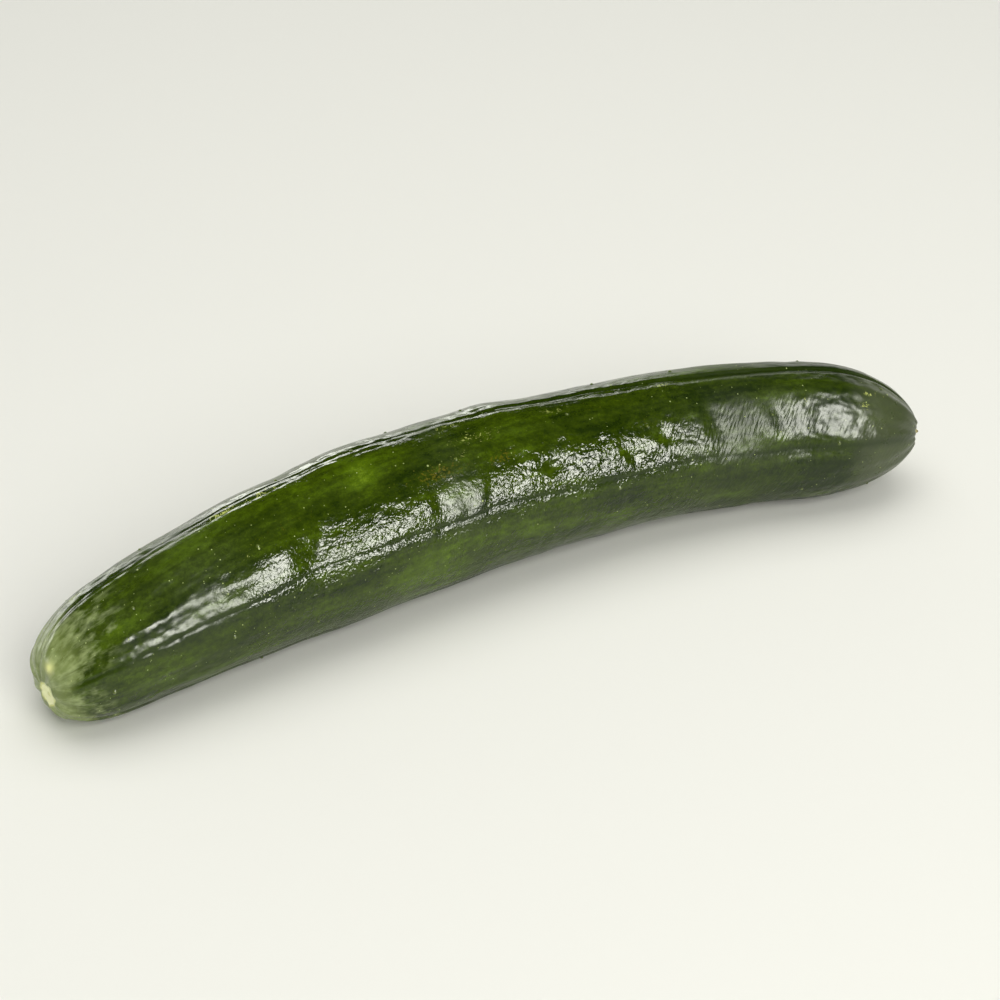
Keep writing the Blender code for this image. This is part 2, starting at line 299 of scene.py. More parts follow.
def rib_relief(s, angle):
    """Low ribs as a cosine round the body, strongest towards the ends."""
    near_blossom = 1.0 - smoothstep(s, *RIB_REACH_BLOSSOM)
    near_stem = 1.0 - smoothstep(SPINE_LENGTH - s, *RIB_REACH_STEM)
    wave = np.cos(np.radians(RIB_COUNT * angle_gap(angle, RIB_HOLLOW_ANGLE)))
    quiet = 1.0 - bell(angle_gap(angle, RIB_QUIET_ANGLE), RIB_QUIET_REACH)
    return -RIB_HEIGHT * (near_blossom + near_stem) * wave * quiet


def crossed_waves(s, angle, seed, waves, lengths, most_turns, height):
    """A sum of sine waves along the body, each turned by a whole number of waves round it."""
    draw = np.random.RandomState(seed)
    relief = np.zeros_like(s)
    for _ in range(waves):
        length = draw.uniform(*lengths)
        turns = draw.randint(0, most_turns + 1)
        phase, lean = draw.uniform(0.0, 2.0 * math.pi, 2)
        relief += np.sin(2.0 * math.pi * s / length + phase) * np.cos(turns * np.radians(angle) + lean)
    return relief * height / math.sqrt(waves)


def swell_relief(s, angle):
    """The seeded swells, plus one bell in two directions for each named swell."""
    relief = crossed_waves(s, angle, *SWELLS)
    for at, facing, height, reach in OUTLINE_SWELLS:
        relief += height * bell(s - at, reach) * bell(angle_gap(angle, facing), OUTLINE_SWELL_SPREAD)
    at, facing, height, reach, spread = STEM_BROW
    return relief + height * bell(s - at, reach) * bell(angle_gap(angle, facing), spread)


# %% Folds across the body
# Most of the folds that show lie in the highlight, at about this angle.
HIGHLIGHT_ANGLE = 38.0
# Each fold: where it starts at that angle, how far it leans in metres a degree, its depth, how long it
# falls and how long it rises again, and the angle that it is centred on with its reach. A negative depth
# is a bump.
FOLDS = (
    (0.0080, 0.00000, -1.00 * MM, 0.013, 0.042, 42.0, 6.2),
    (0.0460, 0.00020, -0.65 * MM, 0.011, 0.013, 40.0, 6.0),
    (0.0655, 0.00030, 0.15 * MM, 0.003, 0.002, 38.0, 10.0),
    (0.0705, 0.00020, 2.10 * MM, 0.018, 0.024, 48.0, 30.0),
    (0.0735, 0.00020, 0.45 * MM, 0.010, 0.004, 38.0, 12.0),
    (0.1015, 0.00030, 0.62 * MM, 0.009, 0.010, 50.0, 13.0),
    (0.1120, 0.00000, -0.26 * MM, 0.009, 0.004, 40.0, 14.0),
    (0.1210, 0.00006, 0.26 * MM, 0.006, 0.024, 38.0, 24.0),
    (0.1270, 0.00006, 0.20 * MM, 0.013, 0.024, 38.0, 24.0),
    (0.1392, 0.00012, 0.36 * MM, 0.005, 0.009, 38.0, 24.0),
    (0.1600, 0.00000, 1.00 * MM, 0.007, 0.006, 40.0, 5.2),
    (0.1722, -0.00050, 0.24 * MM, 0.0015, 0.0025, 37.0, 8.0),
    (0.1895, -0.00020, 0.62 * MM, 0.004, 0.006, 34.0, 9.0),
    (0.2025, -0.00030, 0.85 * MM, 0.008, 0.006, 43.0, 9.0),
    (0.2110, -0.00090, 0.40 * MM, 0.004, 0.004, 36.0, 6.0),
    (0.2205, -0.00010, 1.45 * MM, 0.008, 0.017, 42.0, 26.0),
    (0.2435, -0.00020, 1.00 * MM, 0.008, 0.022, 46.0, 28.0),
    (0.2350, 0.00000, 0.85 * MM, 0.017, 0.030, 16.0, 10.0),
    (0.1350, 0.00020, -0.60 * MM, 0.004, 0.005, 66.0, 3.2),
    (0.1450, 0.00020, -0.55 * MM, 0.004, 0.004, 65.0, 3.2),
    (0.1620, 0.00030, -0.60 * MM, 0.005, 0.006, 62.0, 3.8),
    (0.1810, 0.00000, -0.60 * MM, 0.006, 0.007, 57.0, 5.0),
)
CALM_SHARE = 0.40
CALM_DEPTH = 0.5 * MM
CALM_REACH = 0.6
# The seeded folds: how many, and between what their places, depths, lengths and reaches are drawn.
FOLD_SEED = 23
FOLDS_ELSEWHERE = 34
FOLD_BARE_REACH = 45.0
FOLD_PLACES = (0.030, 0.275)
FOLD_DEPTHS_MM = (0.08, 0.22)
FOLD_LENGTHS = (0.003, 0.006)
FOLD_REACHES = (12.0, 24.0)


def fold_place(s, angle, fold):
    """The distance along the body from the line where a leaning fold starts."""
    start, lean = fold[:2]
    return s - start - lean * angle_gap(angle, HIGHLIGHT_ANGLE)


def one_fold(s, angle, fold):
    """One S curve down and another up again along the body, times a bell round it."""
    _, _, depth, fall, rise, facing, reach = fold
    place = fold_place(s, angle, fold)
    dip = smoothstep(place, 0.0, fall) - smoothstep(place, fall, fall + rise)
    return -depth * dip * bell(angle_gap(angle, facing), reach)


def calm_share(s, angle):
    """How taut the skin is: a bell over the falling side of each fold, weaker for a shallow one."""
    calm = np.zeros_like(s)
    for fold in FOLDS:
        _, _, depth, fall, _, facing, reach = fold
        falling = bell(fold_place(s, angle, fold) - 0.5 * fall, CALM_REACH * fall)
        calm += np.clip(depth / CALM_DEPTH, 0.0, 1.0) * falling * bell(angle_gap(angle, facing), reach)
    return CALM_SHARE * np.clip(calm, 0.0, 1.0)


def fold_relief(s, angle):
    """The named folds of the highlight, and seeded ones on the other sides of the body."""
    relief = np.zeros_like(s)
    for fold in FOLDS:
        relief += one_fold(s, angle, fold)
    draw = np.random.RandomState(FOLD_SEED)
    for _ in range(FOLDS_ELSEWHERE):
        at = draw.uniform(*FOLD_PLACES)
        facing = HIGHLIGHT_ANGLE + draw.uniform(FOLD_BARE_REACH, 360.0 - FOLD_BARE_REACH)
        depth = draw.uniform(*FOLD_DEPTHS_MM) * MM
        fall, rise = draw.uniform(*FOLD_LENGTHS, 2)
        reach = draw.uniform(*FOLD_REACHES)
        relief += one_fold(s, angle, (at, 0.0, depth, fall, rise, facing, reach))
    return relief


# %% [markdown]
# ## Ripples and pits
#
# Between the folds the skin ripples, at a scale of a centimetre or so. And here and there it has a small
# pit, where a spine of the young fruit has rubbed off. Both are real relief in the mesh. The crinkles that
# are finer than the mesh can hold come later, as bump in the material.

# %% Ripples and pits
# The same five values as for the swells.
RIPPLES = (5, 16, (0.008, 0.019), 9, 0.055 * MM)
PIT_SEED = 31
PIT_COUNT = 90
PIT_MARGIN = 0.022
PIT_SIZES = (0.6, 1.3)
PIT_RADIUS = 0.75 * MM
PIT_DEPTH = 0.16 * MM
PIT_WINDOW = 4.0 * MM
# The pits inside the highlight: place along the spine, angle and size.
NEAR_PITS = ((0.1470, 38.0, 1.3), (0.1470, 33.0, 1.0), (0.1515, 32.0, 1.5), (0.1560, 38.0, 1.0))


def pit_places():
    """(station, angle, size) of every pit: seeded ones all over, and the named ones."""
    draw = np.random.RandomState(PIT_SEED)
    place = np.arange(PIT_COUNT) + draw.uniform(0, 1, PIT_COUNT)
    station = PIT_MARGIN + (WHOLE - 2.0 * PIT_MARGIN) * place / PIT_COUNT
    angle = draw.uniform(0.0, 360.0, PIT_COUNT)
    size = draw.uniform(*PIT_SIZES, PIT_COUNT)
    named = np.array(NEAR_PITS)
    named[:, 0] = np.interp(named[:, 0], SPINE["s"], SPINE["station"])
    return np.vstack([np.stack([station, angle, size], axis=1), named])


def fine_relief(s, station, angle, radius):
    """Ripples as crossed short waves, and each pit as a small round bell cut in."""
    relief = crossed_waves(s, angle, *RIPPLES)
    for at, facing, size in pit_places():
        near = np.abs(station - at) < PIT_WINDOW
        across = np.radians(angle_gap(angle[near], facing)) * radius[near]
        away = np.hypot(station[near] - at, across)
        relief[near] -= PIT_DEPTH * size * bell(away, PIT_RADIUS * size)
    return relief


# %% [markdown]
# ## The two ends
#
# Where the petals fell off there is a round, slightly sunken scar, a little off the tip. Where the fruit
# was broken from its stalk there is a deeper one with a blunt core. Low knuckles crowd round the blossom
# end, where the ribs run together.

# %% Knuckles and scars
KNUCKLE_COUNT = 9
KNUCKLE_HEIGHT = 0.30 * MM
KNUCKLE_AT = 0.009
KNUCKLE_REACH = 0.006
SCAR_RADIUS = 3.9 * MM
SCAR_DEPTH = 0.7 * MM
SCAR_TO_FRONT = 1.7 * MM
SCAR_TO_TOP = -1.6 * MM
SCAR_WALL = (0.55, 1.15)
STEM_PIT_RADIUS = 4.2 * MM
STEM_PIT_DEPTH = 1.9 * MM
STEM_CORE_RADIUS = 1.9 * MM
STEM_CORE_HEIGHT = 1.1 * MM
STEM_CORE_WALL = (0.50, 1.20)
BLOSSOM_FADE = 0.014
STEM_FADE = 0.005
BUD_STATION = 9.4 * MM
BUD_ANGLE = 69.0
BUD_HEIGHT = 0.45 * MM
BUD_RADIUS = 2.6 * MM


def from_tip(distance, angle, centre):
    """The distance on the skin from a point near a tip, given as metres to the front and to the top."""
    sideways = distance * np.cos(np.radians(angle)) - centre[0]
    upward = distance * np.sin(np.radians(angle)) - centre[1]
    return np.hypot(sideways, upward)


def round_spot(away, radius, edge):
    """1 inside a round spot and 0 outside: an S curve between two shares of its radius."""
    return 1.0 - smoothstep(away, edge[0] * radius, edge[1] * radius)


def bud_centre():
    """The bud's place from the tip, as metres to the front and to the top."""
    turn = math.radians(BUD_ANGLE)
    return BUD_STATION * math.cos(turn), BUD_STATION * math.sin(turn)


def end_relief(station, angle):
    """Knuckles as a sine round the blossom tip, a bud beside it, and each scar's floor, wall and core."""
    turn = np.radians(angle)
    relief = KNUCKLE_HEIGHT * bell(station - KNUCKLE_AT, KNUCKLE_REACH) * np.sin(KNUCKLE_COUNT * turn)
    relief += BUD_HEIGHT * bell(from_tip(station, angle, bud_centre()), BUD_RADIUS)
    away = from_tip(station, angle, (SCAR_TO_FRONT, SCAR_TO_TOP))
    relief -= SCAR_DEPTH * round_spot(away, SCAR_RADIUS, SCAR_WALL)
    away = from_tip(WHOLE - station, angle, (0.0, 0.0))
    relief -= STEM_PIT_DEPTH * round_spot(away, STEM_PIT_RADIUS, SCAR_WALL)
    return relief + STEM_CORE_HEIGHT * round_spot(away, STEM_CORE_RADIUS, STEM_CORE_WALL)


# %% [markdown]
# ## The skin as one function
#
# Now any place on the skin, given as a station and an angle, can be turned into a point in space: go to
# the spine, out along a ray by the radius, and then along the true outward normal by the relief. The
# normal leans with the slope of the radius, so that relief at the blunt tips points the right way.

# %% From station and angle to a point
GRID_SLOPE = np.gradient(SPINE["s"], SPINE["station"])
GRID_WIDEN = np.gradient(SPINE["radius"], SPINE["station"])


def skin_points(station, angle):
    """Points and outward normals of the skin at arrays of stations (metres) and angles (degrees)."""
    s = along_spine("s", station)
    radius = along_spine("radius", station)
    heading = along_spine("heading", station)
    level = np.zeros_like(s)
    tangent = np.stack([np.cos(heading), np.sin(heading), level], axis=1)
    left = np.stack([-np.sin(heading), np.cos(heading), level], axis=1)
    turn = np.radians(angle)
    ray = -np.cos(turn)[:, None] * left + np.sin(turn)[:, None] * np.array([0.0, 0.0, 1.0])
    along = np.interp(station, SPINE["station"], GRID_SLOPE)
    widen = np.interp(station, SPINE["station"], GRID_WIDEN)
    normal = along[:, None] * ray - widen[:, None] * tangent
    normal /= np.linalg.norm(normal, axis=1)[:, None]

    quiet = smoothstep(station, 0.0, BLOSSOM_FADE) * smoothstep(WHOLE - station, 0.0, STEM_FADE)
    relief = groove_relief(s, angle, radius) + terrace_relief(s, angle, radius)
    relief += swell_relief(s, angle) + rib_relief(s, angle) + fold_relief(s, angle)
    relief += fine_relief(s, station, angle, radius)
    relief = quiet * relief + end_relief(station, angle)
    centre = np.stack([along_spine(name, station) for name in "xyz"], axis=1)
    return centre + radius[:, None] * ray + relief[:, None] * normal, normal


# %% [markdown]
# ## The mesh
#
# The grid's columns follow the grooves and crowd together there, and its rings crowd at the tips. So the
# edges run along the thin lines that the eye follows, and the mesh can stay under 200,000 triangles. One
# vertex closes each tip.

# %% A grid that follows the grooves
COLUMNS_A_GROOVE = 45
RINGS = 436
COLUMN_CROWDING = 0.45
SEAM_GROOVE = 3
TIP_CROWDING = 1.6
TIP_CROWDING_REACH = 0.010
FLAT_SPOT_DEPTH = 0.45 * MM


def column_angle(place, s):
    """Even places round the body, moved so that columns run along the grooves and crowd at them.

    The first column is the hidden groove underneath, so the seam of the UV map is there too.
    """
    count = len(GROOVE_ANGLES)
    sector = np.floor(place * count + 1e-6).astype(int)
    x = place * count - sector
    eased = x - COLUMN_CROWDING * np.sin(2.0 * math.pi * x) / (2.0 * math.pi)
    order = [(k % count, 360.0 * (k // count)) for k in range(SEAM_GROOVE, SEAM_GROOVE + count + 1)]
    angles = np.array([groove_angle(k, s) + turn for k, turn in order])
    rows = np.arange(len(s))
    low, high = angles[sector, rows], angles[sector + 1, rows]
    return low + eased * (high - low)


def ring_station(share):
    """Even shares of the rings, moved so that the rings crowd together towards both tips."""
    place = np.linspace(0.0, WHOLE, SPINE_SAMPLES)
    near_tip = np.exp(-place / TIP_CROWDING_REACH) + np.exp(-(WHOLE - place) / TIP_CROWDING_REACH)
    crowd = np.cumsum(1.0 + TIP_CROWDING * near_tip)
    crowd = (crowd - crowd[0]) / (crowd[-1] - crowd[0])
    return np.interp(share, crowd, place)


COLUMNS = COLUMNS_A_GROOVE * len(GROOVE_ANGLES)
ring, column = np.meshgrid(np.arange(1, RINGS + 1), np.arange(COLUMNS), indexing="ij")
SKIN_STATION = ring_station(ring.ravel() / (RINGS + 1.0))
SKIN_ANGLE = column_angle(column.ravel() / COLUMNS, along_spine("s", SKIN_STATION))
print("grid:", RINGS, "rings of", COLUMNS)

# %% Lay the skin down on the surface
TIPS = (np.array([0.0, WHOLE]), np.array([0.0, 0.0]))
grid_points, _ = skin_points(SKIN_STATION, SKIN_ANGLE)
tip_points, _ = skin_points(*TIPS)
everything = np.vstack([grid_points, tip_points])
REST_LEVEL = everything[:, 2].min() + FLAT_SPOT_DEPTH
MIDDLE = (everything.min(axis=0) + everything.max(axis=0)) / 2.0


def lay_down(points):
    """Moves points so that the body's middle is the origin and its underside is pressed flat on z = 0."""
    laid = points - np.array([MIDDLE[0], MIDDLE[1], REST_LEVEL])
    laid[:, 2] = np.maximum(laid[:, 2], 0.0)
    return laid


SKIN_POINTS = lay_down(everything)
print("skin:", (1000 * (SKIN_POINTS.max(axis=0) - SKIN_POINTS.min(axis=0))).round(1), "mm")


# %% Faces, and the UV map in step with them
def grid_faces(rings, columns):
    """Quads of a closed tube, wound to face outwards, with the corners' ring and column numbers."""
    r, c = np.meshgrid(np.arange(rings - 1), np.arange(columns), indexing="ij")
    r, c = r.ravel(), c.ravel()
    corner_rings = np.stack([r, r + 1, r + 1, r], axis=1)
    corner_columns = np.stack([c, c, c + 1, c + 1], axis=1)
    return corner_rings * columns + corner_columns % columns, corner_rings, corner_columns


def write_uv(piece, u, v):
    """Stores one u and one v for each corner of each face."""
    layer = piece.data.uv_layers.new(name="skin_uv")
    layer.data.foreach_set("uv", np.stack([u, v], axis=1).ravel())


def mesh_from(name, points, faces):
    """A smooth mesh and its object, from whole arrays of points and faces."""
    mesh = bpy.data.meshes.new(name)
    mesh.from_pydata(points, [], faces)
    mesh.shade_smooth()
    piece = bpy.data.objects.new(name, mesh)
    bpy.context.scene.collection.objects.link(piece)
    return piece


quads, quad_rings, quad_columns = grid_faces(RINGS, COLUMNS)
first_tip, last_tip = RINGS * COLUMNS, RINGS * COLUMNS + 1
here = np.arange(COLUMNS)
beside = (here + 1) % COLUMNS
end = (RINGS - 1) * COLUMNS
low_fan = np.stack([np.full(COLUMNS, first_tip), here, beside], axis=1)
high_fan = np.stack([np.full(COLUMNS, last_tip), end + beside, end + here], axis=1)
skin = mesh_from("skin", SKIN_POINTS, quads.tolist() + low_fan.tolist() + high_fan.tolist())
print("triangles:", 2 * len(quads) + 2 * COLUMNS)

# %% Write the UV map
angle_grid = SKIN_ANGLE.reshape(RINGS, COLUMNS)
seamless = np.hstack([angle_grid, angle_grid[:, :1] + 360.0])
station_grid = SKIN_STATION.reshape(RINGS, COLUMNS)
quad_u = station_grid[quad_rings, 0] / WHOLE
quad_v = seamless[quad_rings, quad_columns] / 360.0
fan_v = np.stack([seamless[0, :-1], seamless[0, :-1], seamless[0, 1:]], axis=1) / 360.0
low_u = np.tile([0.0, station_grid[0, 0] / WHOLE, station_grid[0, 0] / WHOLE], (COLUMNS, 1))
high_u = np.tile([1.0, station_grid[-1, 0] / WHOLE, station_grid[-1, 0] / WHOLE], (COLUMNS, 1))
high_v = np.stack([seamless[-1, :-1], seamless[-1, 1:], seamless[-1, :-1]], axis=1) / 360.0
u = np.concatenate([quad_u.ravel(), low_u.ravel(), high_u.ravel()])
v = np.concatenate([quad_v.ravel(), fan_v.ravel(), high_v.ravel()])
write_uv(skin, u, v)
print("corners in the UV map:", len(u))

# %% [markdown]
# ## Maps of the skin
#
# A material needs to know where on the fruit it is. We store that on the mesh as attributes: the place on
# a straightened fruit, so that a pattern can be stretched along the body without following the bend, and
# the direction round it, so that streaks can run together at the tips. Beside these go soft masks for the
# pale patches, the grooves and the small marks, and for where the wax is crinkled, creased, pebbled or
# dull.

# %% Masks, each a formula of place
# Each pale patch: its place along the spine, its angle, its two reaches and its strength. A negative
# strength makes the skin darker.
PALE_PATCHES = (
    (0.107, 78.0, 0.0055, 24.0, 0.55), (0.102, 98.0, 0.0060, 9.0, 0.30),
    (0.127, 2.0, 0.0160, 15.0, 0.50), (0.118, -20.0, 0.0130, 9.0, 0.25),
    (0.155, -2.0, 0.0045, 7.0, 0.35), (0.146, -3.0, 0.0030, 5.0, 0.20),
    (0.030, 75.0, 0.0140, 22.0, 0.25), (0.052, 92.0, 0.0120, 12.0, 0.15),
    (0.215, 200.0, 0.0160, 22.0, 0.40), (0.085, 225.0, 0.0150, 20.0, 0.35),
    (0.225, 66.0, 0.0320, 18.0, -0.17),
)
# Where rusty speckles, pale yellow flecks and pale dashes gather, in the same five numbers.
RUST_PATCHES = (
    (0.129, 58.5, 0.0120, 7.5, 0.85), (0.151, 56.0, 0.0055, 5.0, 0.85), (0.075, 63.0, 0.0140, 5.0, 0.45),
    (0.203, 53.0, 0.0050, 6.0, 0.50), (0.185, 80.0, 0.0200, 12.0, 0.25), (0.180, 190.0, 0.0140, 9.0, 0.90),
)
FLECK_PATCHES = (
    (0.2795, 57.0, 0.0022, 4.5, 0.95), (0.2870, 74.0, 0.0014, 4.0, 0.60),
    (0.2585, 58.0, 0.0014, 3.5, 0.75), (0.1450, 78.0, 0.0110, 7.0, 0.62),
    (0.1360, 66.0, 0.0080, 4.0, 0.50), (0.0640, 56.0, 0.0060, 5.0, 0.45),
)
DASH_PATCHES = (
    (0.0640, 104.5, 0.0050, 6.0, 1.00), (0.0780, 102.0, 0.0060, 5.0, 1.00),
    (0.2810, 69.0, 0.0028, 5.0, 0.80), (0.1750, 84.0, 0.0060, 5.0, 0.60),
    (0.1400, 96.0, 0.0060, 4.0, 0.60), (0.2130, 88.0, 0.0040, 4.0, 0.70),
)
# The groove map darkens the skin along the grooves: painted shade.
GROOVE_SHADE_WIDTH = 1.5 * MM
# A pale line along the front of the blossom end: its angle, its width, where it ends and its strength.
LINE_ANGLE = -2.5
LINE_WIDTH = 1.6
LINE_ENDS = (0.045, 0.072)
LINE_PALENESS = 0.30
BUD_CORE = 1.5 * MM
# The pale blossom end, held back at the front, and the stem end with its waxy bloom and painted sheen.
BLOSSOM_REACH = (0.009, 0.044)
FRONT_ANGLE = 8.0
FRONT_REACH = 30.0
FRONT_HOLD = 0.6
STEM_REACH = (0.075, 0.020)
SCAR_EDGE = (0.90, 1.12)
STEM_SCAR_EDGE = (0.95, 1.30)

# %% Where the wax is crinkled, creased, pebbled or dull
CRINKLE_FROM = (0.034, 0.078)
CRINKLE_TO = (0.190, 0.240)
CREASE_FROM = (0.184, 0.214)
CREASE_TO = (0.240, 0.268)
CREASE_LOSS = 0.7
PEBBLE_FROM = (0.075, 0.115)
PEBBLE_TO = (0.205, 0.250)
DULL_TO = (0.048, 0.078)
DULL_FROM = (0.192, 0.230)
BLOSSOM_DULLNESS = 0.7
# Extra pebbles and dull spots: the place along the spine, the reach and the strength.
PEBBLE_PLACES = ((0.036, 0.024, 1.6), (0.269, 0.016, 1.3))
DULL_PLACES = ((0.047, 0.013, 0.6), (0.134, 0.008, 1.1), (0.236, 0.012, 0.9))
# Along the rim and above the highlight the wax is smooth: the angle, the reach and the strength.
SMOOTH_SIDES = ((110.0, 20.0, 0.9), (68.0, 18.0, 0.75))


def patches(s, angle, places):
    """The sum of bells in two directions, one for each patch."""
    total = np.zeros_like(s)
    for at, facing, reach_s, reach_angle, strength in places:
        total += strength * bell(s - at, reach_s) * bell(angle_gap(angle, facing), reach_angle)
    return total


def along_body(s, places):
    """The sum of bells along the spine, one for each (place, reach, strength)."""
    return sum(strength * bell(s - at, reach) for at, reach, strength in places)


def between(s, rises, falls):
    """0, then 1 past the first pair of places, then 0 past the second, on S curves."""
    return smoothstep(s, *rises) * (1.0 - smoothstep(s, *falls))


def wax_maps(s, angle):
    """The maps of the wax: each a stretch along the body, less the smooth sides, plus extra bells."""
    rough = np.ones_like(s)
    for facing, reach, strength in SMOOTH_SIDES:
        rough *= 1.0 - strength * bell(angle_gap(angle, facing), reach)
    creased = smoothstep(s, *CREASE_FROM) * (1.0 - CREASE_LOSS * smoothstep(s, *CREASE_TO))
    dulled = BLOSSOM_DULLNESS * (1.0 - smoothstep(s, *DULL_TO)) + smoothstep(s, *DULL_FROM)
    return {
        "crinkle": between(s, CRINKLE_FROM, CRINKLE_TO) * (1.0 - calm_share(s, angle)) * rough,
        "crease": creased * rough,
        "pebble": between(s, PEBBLE_FROM, PEBBLE_TO) + along_body(s, PEBBLE_PLACES),
        "dull": dulled + along_body(s, DULL_PLACES),
    }


# %% Every map by name
def skin_maps(station, angle):
    """Every attribute of the skin at arrays of stations and angles, by name."""
    s = along_spine("s", station)
    radius = along_spine("radius", station)
    turn = np.radians(angle)
    groove = bell(np.radians(angle_gap(angle, through(VALLEY_LINE, s))) * radius, GROOVE_SHADE_WIDTH)
    for index in range(len(GROOVE_ANGLES)):
        if index != TOP_GROOVE:
            shade = bell(across_groove(index, s, angle, radius), GROOVE_SHADE_WIDTH)
            groove = np.maximum(groove, shade)
    scar = from_tip(station, angle, (SCAR_TO_FRONT, SCAR_TO_TOP))
    stem_scar = from_tip(WHOLE - station, angle, (0.0, 0.0))
    line = bell(angle_gap(angle, LINE_ANGLE), LINE_WIDTH) * (1.0 - smoothstep(s, *LINE_ENDS))
    from_blossom = station * (1.0 + FRONT_HOLD * bell(angle_gap(angle, FRONT_ANGLE), FRONT_REACH))
    return {
        "straight": np.stack([s, radius * np.cos(turn), radius * np.sin(turn)], axis=1),
        "around": np.stack([np.cos(turn), np.sin(turn), station], axis=1),
        "pale": patches(s, angle, PALE_PATCHES) + LINE_PALENESS * line,
        "fleck": patches(s, angle, FLECK_PATCHES),
        "rust": patches(s, angle, RUST_PATCHES),
        "dash": patches(s, angle, DASH_PATCHES),
        "bud": bell(from_tip(station, angle, bud_centre()), BUD_CORE),
        "groove": groove,
        "blossom": 1.0 - smoothstep(from_blossom, *BLOSSOM_REACH),
        "stem": smoothstep(station, WHOLE - STEM_REACH[0], WHOLE - STEM_REACH[1]),
        "scar": round_spot(scar, SCAR_RADIUS, SCAR_EDGE),
        "stem_scar": round_spot(stem_scar, STEM_PIT_RADIUS, STEM_SCAR_EDGE),
        "wart": np.zeros_like(s),
        **wax_maps(s, angle),
    }


def store_maps(mesh, maps):
    """Writes each map to the mesh as a vertex attribute: a vector where it has three columns."""
    for name, values in maps.items():
        if values.ndim == 2:
            mesh.attributes.new(name, "FLOAT_VECTOR", "POINT").data.foreach_set("vector", values.ravel())
        else:
            mesh.attributes.new(name, "FLOAT", "POINT").data.foreach_set("value", values)


skin_station = np.concatenate([SKIN_STATION, TIPS[0]])
skin_angle = np.concatenate([SKIN_ANGLE, TIPS[1]])
store_maps(skin.data, skin_maps(skin_station, skin_angle))
print("maps:", ", ".join(name for name in skin.data.attributes.keys() if not name.startswith(".")))

# %% [markdown]
# ## Building materials from nodes
#
# A procedural material is a small machine of nodes. A few helpers keep the cells short. The first adds a
# node and fills its sockets, and all the others call it: for arithmetic, S curves, mixed colours, the
# mesh's maps and noise.

# %% Node helpers
def add(tree, kind, sockets=None, **settings):
    """A node with its settings, and each socket either joined to an output or given a value."""
    node = tree.nodes.new(kind)
    for name, value in settings.items():
        setattr(node, name, value)
    for name, value in (sockets or {}).items():
        if isinstance(value, bpy.types.NodeSocket):
            tree.links.new(value, node.inputs[name])
        else:
            node.inputs[name].default_value = value
    return node


def maths(tree, operation, first, second=0.0):
    """The output of one sum on two values."""
    return add(tree, "ShaderNodeMath", {0: first, 1: second}, operation=operation).outputs[0]


def times(tree, first, second):
    """The product of two values."""
    return maths(tree, "MULTIPLY", first, second)


def rise(tree, value, low, high, top=1.0):
    """An S curve from 0 at low to top at high."""
    sockets = {"Value": value, "From Min": low, "From Max": high, "To Min": 0.0, "To Max": top}
    return add(tree, "ShaderNodeMapRange", sockets, interpolation_type="SMOOTHSTEP").outputs[0]


def mixed(tree, share, base, over):
    """Two colours mixed: base where the share is 0, and over where it is 1."""
    return add(tree, "ShaderNodeMix", {0: share, 6: base, 7: over}, data_type="RGBA").outputs[2]


def attribute(tree, name, output="Fac"):
    """One of the mesh's maps."""
    return add(tree, "ShaderNodeAttribute", attribute_name=name).outputs[output]


def placed(tree, vector, scale, turn=0.0):
    """Coordinates scaled, and turned in their first two axes, so that 1 is one feature of a pattern."""
    sockets = {"Vector": vector, "Scale": scale, "Rotation": (0.0, 0.0, math.radians(turn))}
    return add(tree, "ShaderNodeMapping", sockets).outputs[0]


def noise(tree, vector, detail=2.0, roughness=0.5, distortion=0.0):
    """Soft noise, about 0.2 to 0.8, one feature wide for each unit of its coordinates."""
    sockets = {
        "Vector": vector, "Scale": 1.0, "Detail": detail, "Roughness": roughness, "Distortion": distortion,
    }
    return add(tree, "ShaderNodeTexNoise", sockets).outputs[0]


def in_mm(tree, straight, sizes):
    """Coordinates in which 1 is one feature of these sizes: millimetres along the body and across it."""
    return placed(tree, straight, tuple(1000.0 / size for size in sizes))


def weighted(tree, layers, start=0.0):
    """start plus the sum of each layer times its weight."""
    total = start
    for layer, weight in layers:
        node = add(tree, "ShaderNodeMath", {0: layer, 1: weight, 2: total}, operation="MULTIPLY_ADD")
        total = node.outputs[0]
    return total


def ramped(tree, value, stops):
    """A colour ramp with these (place, colour) stops."""
    node = add(tree, "ShaderNodeValToRGB", {"Fac": value})
    while len(node.color_ramp.elements) < len(stops):
        node.color_ramp.elements.new(0.5)
    for element, (place, colour) in zip(node.color_ramp.elements, stops):
        element.position = place
        element.color = colour
    return node.outputs["Color"]


# %% [markdown]
# ## The greens
#
# Cucumber skin isn't one green. It is nearly black-green in long faint stripes, grass green where the
# light got to it, and yellow-green where it lay in shade. We layer noises of four sizes, the larger ones
# stretched along the body, add the pale patches, and look the sum up on a ramp of four greens.

# %% Base colour: stripes, clouds, mottle and grain
DEEP_GREEN = (0.0110, 0.0230, 0.0006, 1.0)
LEAF_GREEN = (0.0330, 0.0560, 0.0010, 1.0)
GRASS_GREEN = (0.0680, 0.1180, 0.0018, 1.0)
LIME_GREEN = (0.1400, 0.2200, 0.0080, 1.0)
# Grey-green for the stem end: partly waxy bloom, partly a painted sheen.
BLOOM_AND_SHEEN_GREEN = (0.0850, 0.1020, 0.0500, 1.0)
# Dark green for the painted shade in the grooves.
GROOVE_SHADE_GREEN = (0.0120, 0.0250, 0.0006, 1.0)
# The sizes of the patterns in millimetres. The stripes read the direction round the body instead.
STRIPE_SCALE = (9.0, 9.0, 18.0)
CLOUD_SIZES = (24.0, 9.0, 9.0)
MOTTLE_SIZES = (2.6, 1.7, 1.7)
COLOUR_GRAIN_SIZES = (0.55, 0.55, 0.55)
GREEN_STOPS = ((0.12, DEEP_GREEN), (0.45, LEAF_GREEN), (0.78, GRASS_GREEN), (1.0, LIME_GREEN))
GREEN_START = -0.99
BLOOM_AND_SHEEN_SHARE = 0.6
GROOVE_SHADE = 0.7


